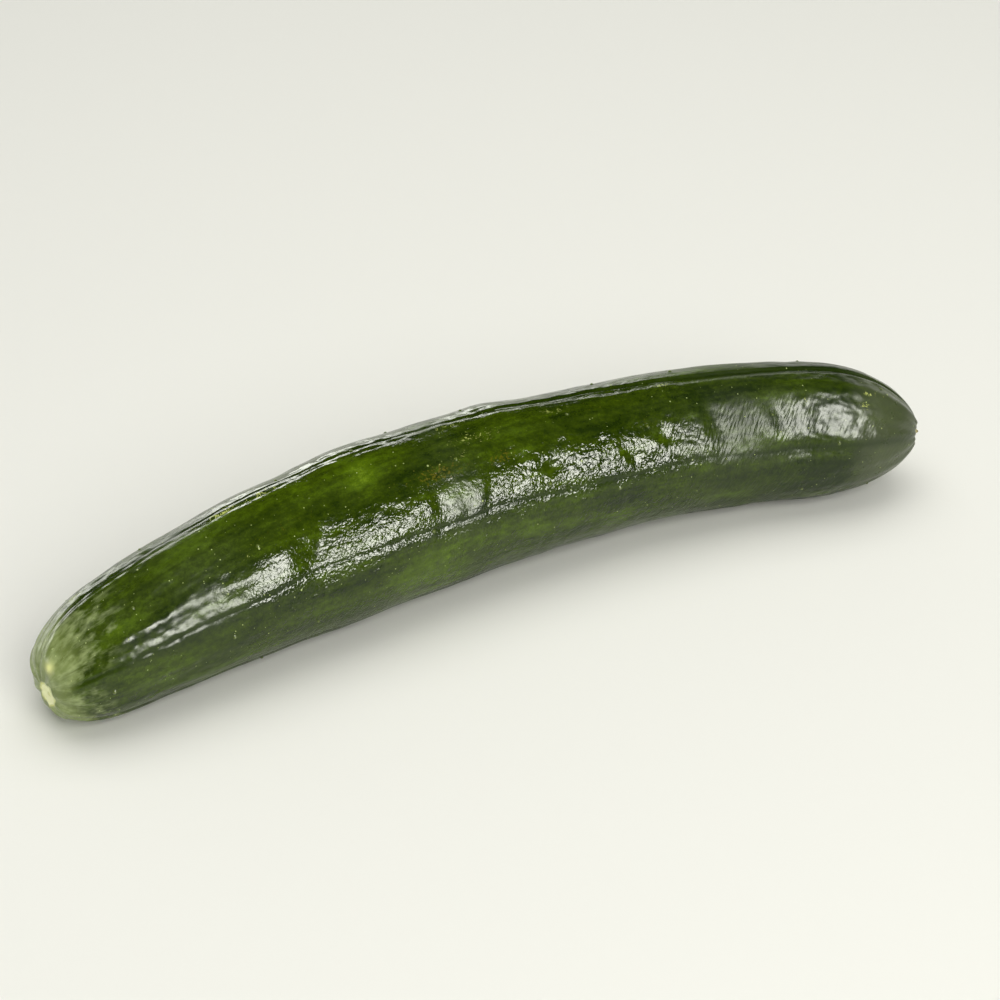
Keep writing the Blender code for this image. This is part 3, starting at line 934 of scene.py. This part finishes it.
def green_layers(tree, straight, around):
    """A ramp of greens over noises and maps, then bloom and painted sheen at the stem, painted shade in
    grooves.
    """
    stripes = noise(tree, placed(tree, around, STRIPE_SCALE), detail=3.0)
    clouds = noise(tree, in_mm(tree, straight, CLOUD_SIZES), detail=3.0, roughness=0.55)
    mottle = noise(tree, in_mm(tree, straight, MOTTLE_SIZES), detail=3.0, roughness=0.65)
    grain = noise(tree, in_mm(tree, straight, COLOUR_GRAIN_SIZES), detail=1.0)
    layers = (
        (stripes, 0.60), (clouds, 1.00), (mottle, 0.85), (grain, 0.30),
        (attribute(tree, "pale"), 0.62), (attribute(tree, "stem"), -0.20),
    )
    colour = ramped(tree, weighted(tree, layers, GREEN_START), GREEN_STOPS)
    # Towards the stem the colour turns grey-green: waxy bloom and a painted sheen.
    colour = mixed(tree, rise(tree, attribute(tree, "stem"), 0.75, 1.0, BLOOM_AND_SHEEN_SHARE), colour, BLOOM_AND_SHEEN_GREEN)
    # Along the grooves the colour is darkened towards dark green as painted shade.
    return mixed(tree, times(tree, attribute(tree, "groove"), GROOVE_SHADE), colour, GROOVE_SHADE_GREEN)


# %% [markdown]
# ## The blossom end
#
# Under the flower the skin stayed pale. Streaks of grey-green run back from the scar and break up within
# three centimetres. Noise that depends on the direction round the body, and hardly on the distance from
# the tip, gives streaks that run together at the tip by themselves.

# %% Streaks at the blossom end
STREAK_GREEN = (0.3400, 0.4100, 0.1750, 1.0)
TIP_GREEN = (0.2300, 0.2900, 0.0850, 1.0)
STREAK_SCALE = (4.6, 4.6, 90.0)
BREAK_SIZES = (4.0, 2.4, 2.4)
TIP_SHARE = 0.66
STREAK_START = -1.17
STREAK_SHARE = 0.9


def blossom_streaks(tree, colour, straight, around):
    """A pale wash over the tip, then noise stretched away from the tip and cut off by the blossom map."""
    blossom = attribute(tree, "blossom")
    streaks = noise(tree, placed(tree, around, STREAK_SCALE), detail=5.0, roughness=0.68, distortion=0.5)
    breaks = noise(tree, in_mm(tree, straight, BREAK_SIZES))
    colour = mixed(tree, times(tree, rise(tree, blossom, 0.60, 1.0), TIP_SHARE), colour, TIP_GREEN)
    layers = ((streaks, 1.5), (breaks, 1.0), (blossom, 0.34))
    share = rise(tree, weighted(tree, layers, STREAK_START), 0.12, 0.88)
    reach = rise(tree, blossom, 0.0, 0.35, STREAK_SHARE)
    return mixed(tree, times(tree, share, reach), colour, STREAK_GREEN)


# %% [markdown]
# ## Specks, rust and dashes
#
# All over the skin there are tiny pale specks, the remains of the young fruit's spines. Voronoi cells on a
# three-dimensional grid place them: the surface passes some cells' middles closely and others not at all,
# so their sizes and distances come out uneven, as in nature. Rusty speckles and pale flecks gather in
# patches, where the skin rubbed on something, and here and there thin pale dashes cross the top groove.

# %% Specks and other small marks
SPECK_COLOUR = (0.4300, 0.5200, 0.1700, 1.0)
RUST_COLOUR = (0.1150, 0.1020, 0.0045, 1.0)
FLECK_COLOUR = (0.3800, 0.4200, 0.1100, 1.0)
DASH_COLOUR = (0.5000, 0.5600, 0.1500, 1.0)
SCAR_COLOUR = (0.8600, 0.8800, 0.3600, 1.0)
DRY_GREEN = (0.1100, 0.1300, 0.0300, 1.0)
WART_PALENESS = 0.4
SPECK_PALENESS = 0.85
BUD_PALENESS = 0.95
# Each layer of specks: the size of its cells and the radius of a speck in millimetres, and the share kept.
SPECK_LAYERS = ((6.5, 0.32, 0.50), (3.4, 0.21, 0.60), (1.9, 0.14, 0.50))
SPECK_EDGE = (1.25, 0.65)
MARK_SIZES = (0.9, 0.7, 0.7)
MARK_LEVELS = (0.74, 0.86)
# Marks that gather in patches: the map, its weight, the strongest share of the colour, and the colour.
GATHERED_MARKS = (("rust", 0.34, 0.75, RUST_COLOUR), ("fleck", 0.32, 0.85, FLECK_COLOUR))
STROKE_SIZES = (2.6, 3.4, 3.4)
STROKE_LEVEL = 0.56
STROKE_WIDTH = (0.030, 0.012)


def speck_layer(tree, straight, cell, radius, kept):
    """1 inside a small ball round the middle of some cells, and 0 outside."""
    sockets = {"Vector": in_mm(tree, straight, (cell, cell, cell)), "Scale": 1.0}
    cells = add(tree, "ShaderNodeTexVoronoi", sockets, feature="F1")
    none, full = (edge * radius / cell for edge in SPECK_EDGE)
    inside = rise(tree, cells.outputs["Distance"], none, full)
    chosen = add(tree, "ShaderNodeSeparateColor", {"Color": cells.outputs["Color"]}).outputs[0]
    return times(tree, inside, maths(tree, "LESS_THAN", chosen, kept))


def speck_share(tree, straight):
    """The strongest of the speck layers and the warts."""
    share = times(tree, attribute(tree, "wart"), WART_PALENESS)
    for cell, radius, kept in SPECK_LAYERS:
        share = maths(tree, "MAXIMUM", share, speck_layer(tree, straight, cell, radius, kept))
    return share


def rust_and_flecks(tree, colour, straight):
    """Marks where fine noise, raised by the map of the mark, passes a level."""
    fine = noise(tree, in_mm(tree, straight, MARK_SIZES), detail=2.0, roughness=0.6)
    for name, weight, share, paint in GATHERED_MARKS:
        raised = weighted(tree, ((fine, 1.0), (attribute(tree, name), weight)))
        colour = mixed(tree, rise(tree, raised, *MARK_LEVELS, share), colour, paint)
    return colour


def dashes(tree, colour, straight):
    """Thin veins where a noise is close to one level, kept where the dash map is strong."""
    strokes = noise(tree, in_mm(tree, straight, STROKE_SIZES), detail=2.5, roughness=0.6)
    away = maths(tree, "ABSOLUTE", maths(tree, "SUBTRACT", strokes, STROKE_LEVEL))
    veins = times(tree, rise(tree, away, *STROKE_WIDTH), rise(tree, attribute(tree, "dash"), 0.25, 0.70))
    return mixed(tree, times(tree, veins, SPECK_PALENESS), colour, DASH_COLOUR)


def small_marks(tree, colour, specks, straight):
    """Rust, flecks, dashes and specks, then the bud and the rims of the two scars."""
    colour = dashes(tree, rust_and_flecks(tree, colour, straight), straight)
    colour = mixed(tree, times(tree, specks, SPECK_PALENESS), colour, SPECK_COLOUR)
    colour = mixed(tree, attribute(tree, "stem_scar"), colour, DRY_GREEN)
    colour = mixed(tree, times(tree, attribute(tree, "bud"), BUD_PALENESS), colour, SCAR_COLOUR)
    return mixed(tree, attribute(tree, "scar"), colour, SCAR_COLOUR)


# %% [markdown]
# ## Crinkles in the wax
#
# The highlight on a cucumber isn't smooth: it is broken into hundreds of small bright facets. Along the
# middle the skin is crinkled like leather, in slanting cells about a millimetre across. Towards the stem
# long thin creases take over, and low pebbles lie under all of it. This is finer than the mesh, so it is
# bump: Voronoi cells in the UV map's coordinates, turned, stretched and bent by noise, and plain noises
# at four more sizes.

# %% Bump: crinkles, creases, pebbles and specks
# Lengths and sizes here are in millimetres, and turns are in degrees.
CRINKLE_TURN = -40.0
CRINKLE_LENGTH = 1.25
CRINKLE_WIDTH = 0.75
CRINKLE_BEND = 2.0 * CRINKLE_LENGTH
CRINKLE_ROUNDNESS = 2.2
BEND_SIZES = (2.4, 2.4, 2.4)
PATCHY_SIZES = (9.0, 6.0, 6.0)
LEATHER_SIZES = (1.05, 0.85, 0.85)
CREASE_TURN = -62.0
CREASE_SCALE = (0.32, 1.00, 1.0)
PEBBLE_SIZES = (4.2, 3.0, 3.0)
PEBBLE_LEAST = 0.6
GRAIN_SIZES = (0.45, 0.45, 0.45)
# The body's mean radius and the height of each pattern are in metres.
MEAN_RADIUS = 0.0235
CRINKLE_HEIGHT = 0.150 * MM
LEATHER_HEIGHT = 0.235 * MM
CREASE_HEIGHT = 0.34 * MM
PEBBLE_HEIGHT = 0.330 * MM
GRAIN_HEIGHT = 0.010 * MM
SPECK_HEIGHT = 0.060 * MM


def crinkle_height(tree, skin_mm, straight):
    """1 less a power of the distance to the middle of stretched, slanting, bent Voronoi cells."""
    sockets = {"Vector": in_mm(tree, straight, BEND_SIZES), "Scale": 1.0, "Detail": 2.0}
    bend = add(tree, "ShaderNodeTexNoise", sockets).outputs["Color"]
    sockets = {0: bend, 1: (CRINKLE_BEND, CRINKLE_BEND, 0.0), 2: skin_mm}
    pushed = add(tree, "ShaderNodeVectorMath", sockets, operation="MULTIPLY_ADD").outputs[0]
    turned = placed(tree, pushed, (1.0, 1.0, 1.0), CRINKLE_TURN)
    scaled = placed(tree, turned, (1.0 / CRINKLE_LENGTH, 1.0 / CRINKLE_WIDTH, 1.0))
    sockets = {"Vector": scaled, "Scale": 1.0, "Smoothness": 0.35, "Randomness": 1.0}
    cells = add(tree, "ShaderNodeTexVoronoi", sockets, feature="SMOOTH_F1", voronoi_dimensions="2D")
    return maths(tree, "SUBTRACT", 1.0, maths(tree, "POWER", cells.outputs["Distance"], CRINKLE_ROUNDNESS))


def skin_bump(tree, specks, straight):
    """The height of everything finer than the mesh, in metres, turned into a normal."""
    uv = add(tree, "ShaderNodeUVMap", uv_map="skin_uv").outputs[0]
    skin_mm = placed(tree, uv, (1000.0 * WHOLE, 2000.0 * math.pi * MEAN_RADIUS, 1.0))
    patchy = noise(tree, in_mm(tree, straight, PATCHY_SIZES))
    strength = times(tree, attribute(tree, "crinkle"), rise(tree, patchy, 0.10, 0.60))
    crinkle = times(tree, crinkle_height(tree, skin_mm, straight), strength)
    leather = noise(tree, in_mm(tree, straight, LEATHER_SIZES), detail=1.5, roughness=0.55)
    leather = times(tree, leather, strength)
    slanted = placed(tree, placed(tree, skin_mm, (1.0, 1.0, 1.0), CREASE_TURN), CREASE_SCALE)
    crease = noise(tree, slanted, detail=1.0, roughness=0.40)
    crease = times(tree, crease, attribute(tree, "crease"))
    pebbles = noise(tree, in_mm(tree, straight, PEBBLE_SIZES), detail=0.6)
    pebbles = times(tree, pebbles, maths(tree, "ADD", attribute(tree, "pebble"), PEBBLE_LEAST))
    grain = noise(tree, in_mm(tree, straight, GRAIN_SIZES), detail=1.0)
    layers = (
        (crinkle, CRINKLE_HEIGHT), (leather, LEATHER_HEIGHT), (crease, CREASE_HEIGHT),
        (pebbles, PEBBLE_HEIGHT), (grain, GRAIN_HEIGHT), (specks, SPECK_HEIGHT),
    )
    sockets = {"Height": weighted(tree, layers), "Strength": 1.0, "Distance": 1.0}
    return add(tree, "ShaderNodeBump", sockets).outputs[0]


# %% [markdown]
# ## The finished skin
#
# The shader itself is simple: a Principled BSDF with the index of refraction of wax. The skin is glossiest
# along the middle and duller at both ends, and the scars are dry, so only the roughness varies.

# %% Skin material
WAX_IOR = 1.42
GLOSSY = 0.14
UNEVENNESS = 0.14
UNEVEN_SIZES = (7.0, 4.0, 4.0)
END_DULLNESS = 0.15
SCAR_DULLNESS = 0.35
SPECK_DULLNESS = 0.15


def new_material(name):
    """An empty material, its node tree and its shader."""
    material = bpy.data.materials.new(name)
    material.use_nodes = True
    tree = material.node_tree
    return material, tree, tree.nodes["Principled BSDF"]


def make_skin_material():
    """Colour, roughness and bump joined to one shader."""
    material, tree, shader = new_material("cucumber_skin")
    straight = attribute(tree, "straight", "Vector")
    around = attribute(tree, "around", "Vector")
    specks = speck_share(tree, straight)
    colour = green_layers(tree, straight, around)
    colour = blossom_streaks(tree, colour, straight, around)
    colour = small_marks(tree, colour, specks, straight)
    uneven = noise(tree, in_mm(tree, straight, UNEVEN_SIZES), detail=3.0, roughness=0.6)
    layers = (
        (uneven, UNEVENNESS), (attribute(tree, "dull"), END_DULLNESS),
        (attribute(tree, "scar"), SCAR_DULLNESS), (specks, SPECK_DULLNESS),
    )
    tree.links.new(colour, shader.inputs["Base Color"])
    tree.links.new(weighted(tree, layers, GLOSSY - UNEVENNESS / 2.0), shader.inputs["Roughness"])
    tree.links.new(skin_bump(tree, specks, straight), shader.inputs["Normal"])
    shader.inputs["IOR"].default_value = WAX_IOR
    return material


SKIN_MATERIAL = make_skin_material()
skin.data.materials.append(SKIN_MATERIAL)
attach(skin, "root")
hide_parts("cucumber")
print("nodes in the skin material:", len(SKIN_MATERIAL.node_tree.nodes))

# %% [markdown]
# ## Warts
#
# A few dozen low warts stand where the spines of the young fruit were largest. Each is a small dome on a
# golden-angle spiral with seeded jitter, on every side but the one the fruit lies on. We work out all
# domes at once, in the skin's own coordinates, so they follow its curve, and their feet dip under it.

# %% All warts in one mesh
WART_COUNT = 54
WART_SEED = 4
WART_RADIUS = 0.85 * MM
WART_HEIGHT = 0.42 * MM
WART_FOOT = 0.10 * MM
WART_SKIRT = 1.25
WART_BELL = 0.52
WART_PALE_BELL = 0.42
WART_MARGIN = 0.020
WART_RINGS = 6
WART_SIDES = 12
WART_STEPS = (0.1, 0.9)
WART_JITTER = 20.0
WART_SIZES = (0.75, 1.15)
GOLDEN_TURN = 137.508
UNDERSIDE = 270.0
BARE_UNDERSIDE = 42.0


def disc_grid(rings, sides):
    """The share of the way out and the turn of each vertex of a disc: the middle first, then its rings."""
    out = np.repeat(np.linspace(0.0, 1.0, rings)[1:], sides)
    turn = np.tile(np.linspace(0.0, 2.0 * math.pi, sides, endpoint=False), rings - 1)
    return np.concatenate([[0.0], out]), np.concatenate([[0.0], turn])


def disc_faces(rings, sides):
    """The faces of such a disc: a fan round the middle, and quads between the rings."""
    side = np.arange(sides)
    fan = np.stack([np.zeros(sides, int), side + 1, (side + 1) % sides + 1], axis=1)
    return fan.tolist() + (grid_faces(rings - 1, sides)[0] + 1).tolist()


def wart_places():
    """(station, angle, size) of each wart: one turn of the golden angle from the last, with jitter."""
    draw = np.random.RandomState(WART_SEED)
    places = []
    for index in range(WART_COUNT):
        share = (index + draw.uniform(*WART_STEPS)) / WART_COUNT
        station = WART_MARGIN + share * (WHOLE - 2.0 * WART_MARGIN)
        angle = (index * GOLDEN_TURN + draw.uniform(-WART_JITTER, WART_JITTER)) % 360.0
        size = draw.uniform(*WART_SIZES)
        if abs(angle_gap(angle, UNDERSIDE)) >= BARE_UNDERSIDE:
            places.append((station, angle, size))
    return np.array(places)


def make_warts():
    """Domes whose height falls as a bell from the top to the foot, on rings round each wart's place."""
    places = wart_places()
    count = len(places)
    out, turn = disc_grid(WART_RINGS, WART_SIDES)
    reach = WART_SKIRT * WART_RADIUS * places[:, 2:3] * out[None, :]
    station = places[:, 0:1] + reach * np.cos(turn)
    radius = along_spine("radius", places[:, 0:1])
    angle = places[:, 1:2] + np.degrees(reach * np.sin(turn) / radius)
    height = (WART_HEIGHT + WART_FOOT) * places[:, 2:3] * bell(out, WART_BELL)[None, :] - WART_FOOT
    station, angle, height = station.ravel(), angle.ravel(), height.ravel()
    points, normals = skin_points(station, angle)
    points = lay_down(points + height[:, None] * normals)

    faces = []
    for index in range(count):
        first = index * len(out)
        faces += [[corner + first for corner in face] for face in disc_faces(WART_RINGS, WART_SIDES)]
    piece = mesh_from("warts", points, faces)
    maps = skin_maps(station, angle)
    maps["wart"] = np.tile(bell(out, WART_PALE_BELL), count)
    store_maps(piece.data, maps)
    corners = np.zeros(len(piece.data.loops), int)
    piece.data.loops.foreach_get("vertex_index", corners)
    write_uv(piece, station[corners] / WHOLE, angle[corners] / 360.0)
    piece.data.materials.append(SKIN_MATERIAL)
    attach(piece, "root")
    print("warts:", count)
    return piece


warts = make_warts()

# %% [markdown]
# ## The two scars
#
# Each scar gets its own small disc of dry tissue, because it is a different stuff: matt, corky and full of
# fibres. The blossom scar is a pale ring with a dimple, where the style stood. The stem scar has a ring of
# ten bumps, the broken ends of the vessels, round a torn stub. Both discs dip under the skin at their
# rims.

# %% Scar material
PALE_TISSUE = (0.9700, 0.9900, 0.6000, 1.0)
GREEN_TISSUE = (0.3600, 0.4200, 0.1400, 1.0)
BROWN_TISSUE = (0.2600, 0.2000, 0.0700, 1.0)
TAN_TISSUE = (0.4600, 0.4300, 0.2100, 1.0)
FIBRE_SCALE = (7.0, 7.0, 2.0)
FIBRE_HEIGHT = 0.12 * MM
FIBRE_PUSH = 0.16
RIM_SHARE = 0.35
TISSUE_ROUGHNESS = 0.62


def make_scar_material(name, middle, ring, rim):
    """Three colours from the middle out, darkened and bumped by noise that runs outwards as fibres."""
    material, tree, shader = new_material(name)
    spokes = attribute(tree, "spokes", "Vector")
    fibres = noise(tree, placed(tree, spokes, FIBRE_SCALE), detail=4.0, roughness=0.6)
    out = weighted(tree, ((attribute(tree, "out"), 1.0), (fibres, FIBRE_PUSH)), -FIBRE_PUSH / 2.0)
    colour = ramped(tree, out, ((0.08, middle), (0.26, ring), (0.80, ring), (1.0, rim)))
    colour = mixed(tree, rise(tree, fibres, 0.50, 0.80, RIM_SHARE), colour, rim)
    sockets = {"Height": fibres, "Strength": 1.0, "Distance": FIBRE_HEIGHT}
    tree.links.new(colour, shader.inputs["Base Color"])
    tree.links.new(add(tree, "ShaderNodeBump", sockets).outputs[0], shader.inputs["Normal"])
    shader.inputs["Roughness"].default_value = TISSUE_ROUGHNESS
    return material


# %% Shapes of the two scars
# Places and widths are shares of the way out from the middle.
BLOSSOM_BASE = 0.10 * MM
RING_HEIGHT, RING_AT, RING_WIDTH = 0.30 * MM, 0.72, 0.15
DIMPLE_DEPTH, DIMPLE_WIDTH = 0.40 * MM, 0.14
WAVE_HEIGHT, WAVE_COUNT = 0.05 * MM, 13.0
STEM_BASE = 0.12 * MM
STUB_HEIGHT, STUB_WIDTH = 0.9 * MM, 0.24
VESSEL_HEIGHT, VESSEL_AT, VESSEL_WIDTH = 0.25 * MM, 0.62, 0.10
VESSELS = 10


def blossom_height(out, turn):
    """A rim as a bell, a dimple in the middle, and a low wave round it."""
    wave = WAVE_HEIGHT * out * np.cos(WAVE_COUNT * turn)
    rim = RING_HEIGHT * bell(out - RING_AT, RING_WIDTH)
    return BLOSSOM_BASE + rim - DIMPLE_DEPTH * bell(out, DIMPLE_WIDTH) + wave


def stem_height(out, turn):
    """A torn stub in the middle, with three and five low lobes, and a ring of bumps round it."""
    torn = 1.0 + 0.25 * np.cos(3.0 * turn + 0.7) + 0.15 * np.cos(5.0 * turn)
    bumps = 0.5 + 0.5 * np.cos(VESSELS * turn)
    ring = VESSEL_HEIGHT * bumps * bell(out - VESSEL_AT, VESSEL_WIDTH)
    return STEM_BASE + STUB_HEIGHT * torn * bell(out, STUB_WIDTH) + ring


# %% Blossom scar and stem scar
SCAR_RINGS = 19
SCAR_SIDES = 96
TUCK = 0.30 * MM
TUCK_FROM = 0.84


def make_scar(name, station, angle, out, turn, height, material):
    """A disc on the skin at these places, raised by the height inside and tucked under at the rim."""
    points, normals = skin_points(station, angle)
    edge = smoothstep(out, TUCK_FROM, 1.0)
    raised = height * (1.0 - edge) - TUCK * edge
    points = lay_down(points + raised[:, None] * normals)
    piece = mesh_from(name, points, disc_faces(SCAR_RINGS, SCAR_SIDES))
    store_maps(piece.data, {"out": out, "spokes": np.stack([np.cos(turn), np.sin(turn), out], axis=1)})
    piece.data.materials.append(material)
    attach(piece, "root")
    return piece


out, turn = disc_grid(SCAR_RINGS, SCAR_SIDES)
to_front = SCAR_TO_FRONT + SCAR_RADIUS * out * np.cos(turn)
to_top = SCAR_TO_TOP + SCAR_RADIUS * out * np.sin(turn)
blossom_tissue = make_scar_material("blossom_tissue", GREEN_TISSUE, PALE_TISSUE, GREEN_TISSUE)
blossom_scar = make_scar(
    "blossom_scar", np.hypot(to_front, to_top), np.degrees(np.arctan2(to_top, to_front)), out, turn,
    blossom_height(out, turn), blossom_tissue,
)
stem_tissue = make_scar_material("stem_tissue", BROWN_TISSUE, TAN_TISSUE, GREEN_TISSUE)
stem_scar = make_scar(
    "stem_scar", WHOLE - STEM_PIT_RADIUS * out, -np.degrees(turn), out, turn,
    stem_height(out, turn), stem_tissue,
)
print("scars:", blossom_scar.name, stem_scar.name)

# %% [markdown]
# ## Floor and background
#
# The cucumber lies on a plain white floor. Little light reaches the far part of it, so there the floor
# glows for the camera alone, the more the farther out. The background is pale to the camera but nearly
# dark to the wax, except for a low bright strip behind the fruit: a glossy dark thing shows whatever
# stands round it, and a photographer keeps that dark and simple.

# %% Floor
FLOOR_SIZE = 12.0
FLOOR_WHITE = (0.78, 0.78, 0.75, 1.0)
FLOOR_ROUGHNESS = 0.9
FAR_GLOW = 0.80
FAR_FROM = 0.60
FAR_TO = 3.00


def make_floor():
    """A flat square, big enough to fill the view, with a glow that rises on an S curve from the middle."""
    half = FLOOR_SIZE / 2.0
    points = [(-half, -half, 0.0), (half, -half, 0.0), (half, half, 0.0), (-half, half, 0.0)]
    mesh = bpy.data.meshes.new("floor")
    mesh.from_pydata(points, [], [(0, 1, 2, 3)])
    floor = bpy.data.objects.new("floor", mesh)
    bpy.context.scene.collection.objects.link(floor)
    material, tree, shader = new_material("floor_white")
    shader.inputs["Base Color"].default_value = FLOOR_WHITE
    shader.inputs["Roughness"].default_value = FLOOR_ROUGHNESS
    shader.inputs["Specular IOR Level"].default_value = 0.0
    place = add(tree, "ShaderNodeTexCoord").outputs["Object"]
    distance = add(tree, "ShaderNodeVectorMath", {0: place}, operation="LENGTH").outputs["Value"]
    seen = add(tree, "ShaderNodeLightPath").outputs["Is Camera Ray"]
    glow = times(tree, rise(tree, distance, FAR_FROM, FAR_TO, FAR_GLOW), seen)
    shader.inputs["Emission Color"].default_value = FLOOR_WHITE
    tree.links.new(glow, shader.inputs["Emission Strength"])
    mesh.materials.append(material)
    return floor


floor = make_floor()
print("floor:", FLOOR_SIZE, "m")

# %% World
PALE = (0.93, 0.93, 0.93, 1.0)
FILL = (0.25, 0.25, 0.25, 1.0)
DARK_ROOM = (0.012, 0.013, 0.012, 1.0)
STRIP = (6.40, 6.46, 6.00, 1.0)
STRIP_TOP = (0.20, 0.09)
STRIP_BEHIND = (0.05, 0.45)
STRIP_SIDE = (0.58, 0.24)
STRIP_LEAST = 0.15


def make_world():
    """One colour for the camera, one for soft fill, and for reflections a strip low behind the fruit."""
    world = bpy.data.worlds.new("studio")
    world.use_nodes = True
    tree = world.node_tree
    direction = add(tree, "ShaderNodeTexCoord").outputs["Generated"]
    axes = add(tree, "ShaderNodeSeparateXYZ", {"Vector": direction})
    low = rise(tree, axes.outputs[2], *STRIP_TOP)
    behind = rise(tree, axes.outputs[1], *STRIP_BEHIND)
    left = rise(tree, axes.outputs[0], *STRIP_SIDE)
    behind = times(tree, behind, weighted(tree, ((left, 1.0 - STRIP_LEAST),), STRIP_LEAST))
    mirrored = mixed(tree, times(tree, low, behind), DARK_ROOM, STRIP)
    path = add(tree, "ShaderNodeLightPath")
    colour = mixed(tree, path.outputs["Is Diffuse Ray"], mirrored, FILL)
    colour = mixed(tree, path.outputs["Is Camera Ray"], colour, PALE)
    tree.links.new(colour, tree.nodes["Background"].inputs["Color"])
    bpy.context.scene.world = world
    return world


print("world:", make_world().name)

# %% [markdown]
# ## Light
#
# One tall softbox stands in front of the cucumber, a little to the right. It is only there for the wax: it
# makes the long broken highlight. The skin and the floor get their light from a second, larger one, high
# up and a little behind, which the wax doesn't mirror. So the dark line of shadow falls to the front,
# under the curve of the fruit. A weak third one lifts the front.

# %% Softbox, key and front light
SOFTBOX_AZIMUTH = 16.0
SOFTBOX_ELEVATION = 32.2
SOFTBOX_DISTANCE = 3.00
SOFTBOX_WIDTH = 1.16
SOFTBOX_HEIGHT = 1.38
SOFTBOX_RADIANCE = 26.5
KEY_PLACE = (0.10, 0.22, 1.40)
KEY_SIZE = (1.7, 1.4)
KEY_POWER = 14.0
FRONT_AZIMUTH = 0.0
FRONT_ELEVATION = 38.0
FRONT_DISTANCE = 1.50
FRONT_SIZE = 0.9
FRONT_POWER = 15.0
WARM_WHITE = (1.0, 0.995, 0.93)
LIGHTS_AIM = (0.0, 0.0, 0.02)


def soft_light(name, place, width, height, power):
    """A rectangle of light aimed at the middle of the cucumber."""
    light = bpy.data.lights.new(name, "AREA")
    light.shape = "RECTANGLE"
    light.size = width
    light.size_y = height
    light.energy = power
    light.color = WARM_WHITE
    lamp = bpy.data.objects.new(name, light)
    lamp.location = place
    aim = Vector(LIGHTS_AIM) - Vector(place)
    lamp.rotation_mode = "QUATERNION"
    lamp.rotation_quaternion = aim.to_track_quat("-Z", "Y")
    lamp.visible_camera = False
    bpy.context.scene.collection.objects.link(lamp)
    return lamp


def round_the_fruit(azimuth, elevation, distance):
    """A place at a distance, azimuth (0 is the front, 90 the stem end) and elevation, in degrees."""
    a, e = math.radians(azimuth), math.radians(elevation)
    right, ahead = distance * math.sin(a), -distance * math.cos(a)
    return right * math.cos(e), ahead * math.cos(e), distance * math.sin(e)


# A rectangle of area A that shines with radiance R on one side gives off pi times A times R watts.
softbox_power = math.pi * SOFTBOX_WIDTH * SOFTBOX_HEIGHT * SOFTBOX_RADIANCE
softbox_place = round_the_fruit(SOFTBOX_AZIMUTH, SOFTBOX_ELEVATION, SOFTBOX_DISTANCE)
softbox = soft_light("softbox", softbox_place, SOFTBOX_WIDTH, SOFTBOX_HEIGHT, softbox_power)
softbox.visible_diffuse = False
key = soft_light("key", KEY_PLACE, *KEY_SIZE, KEY_POWER)
key.visible_glossy = False
front_place = round_the_fruit(FRONT_AZIMUTH, FRONT_ELEVATION, FRONT_DISTANCE)
front = soft_light("front", front_place, FRONT_SIZE, FRONT_SIZE, FRONT_POWER)
front.visible_glossy = False
print("softbox:", round(softbox_power, 1), "W")

# %% [markdown]
# ## Camera
#
# The camera looks down on the fruit from in front of its blossom end, at 36 degrees. These values come
# from matching the outline of the solid to the outline in the photograph.

# %% Camera
CAMERA_AZIMUTH = -28.5
CAMERA_ELEVATION = 36.0
CAMERA_DISTANCE = 0.750
CAMERA_TARGET = (0.00814, 0.00611, 0.0200)
LENS_MM = 86.0
SENSOR_MM = 36.0


def make_camera():
    """A camera on a sphere round its target, aimed at it, with no shift and everything in focus."""
    data = bpy.data.cameras.new("camera")
    data.lens = LENS_MM
    data.sensor_width = SENSOR_MM
    data.clip_start = 0.01
    camera = bpy.data.objects.new("camera", data)
    away = Vector(round_the_fruit(CAMERA_AZIMUTH, CAMERA_ELEVATION, CAMERA_DISTANCE))
    camera.location = Vector(CAMERA_TARGET) + away
    camera.rotation_mode = "QUATERNION"
    camera.rotation_quaternion = (-away).to_track_quat("-Z", "Y")
    bpy.context.scene.collection.objects.link(camera)
    bpy.context.scene.camera = camera


make_camera()
bpy.context.scene.view_settings.view_transform = "Standard"
print("camera:", [round(x, 3) for x in bpy.context.scene.camera.location])
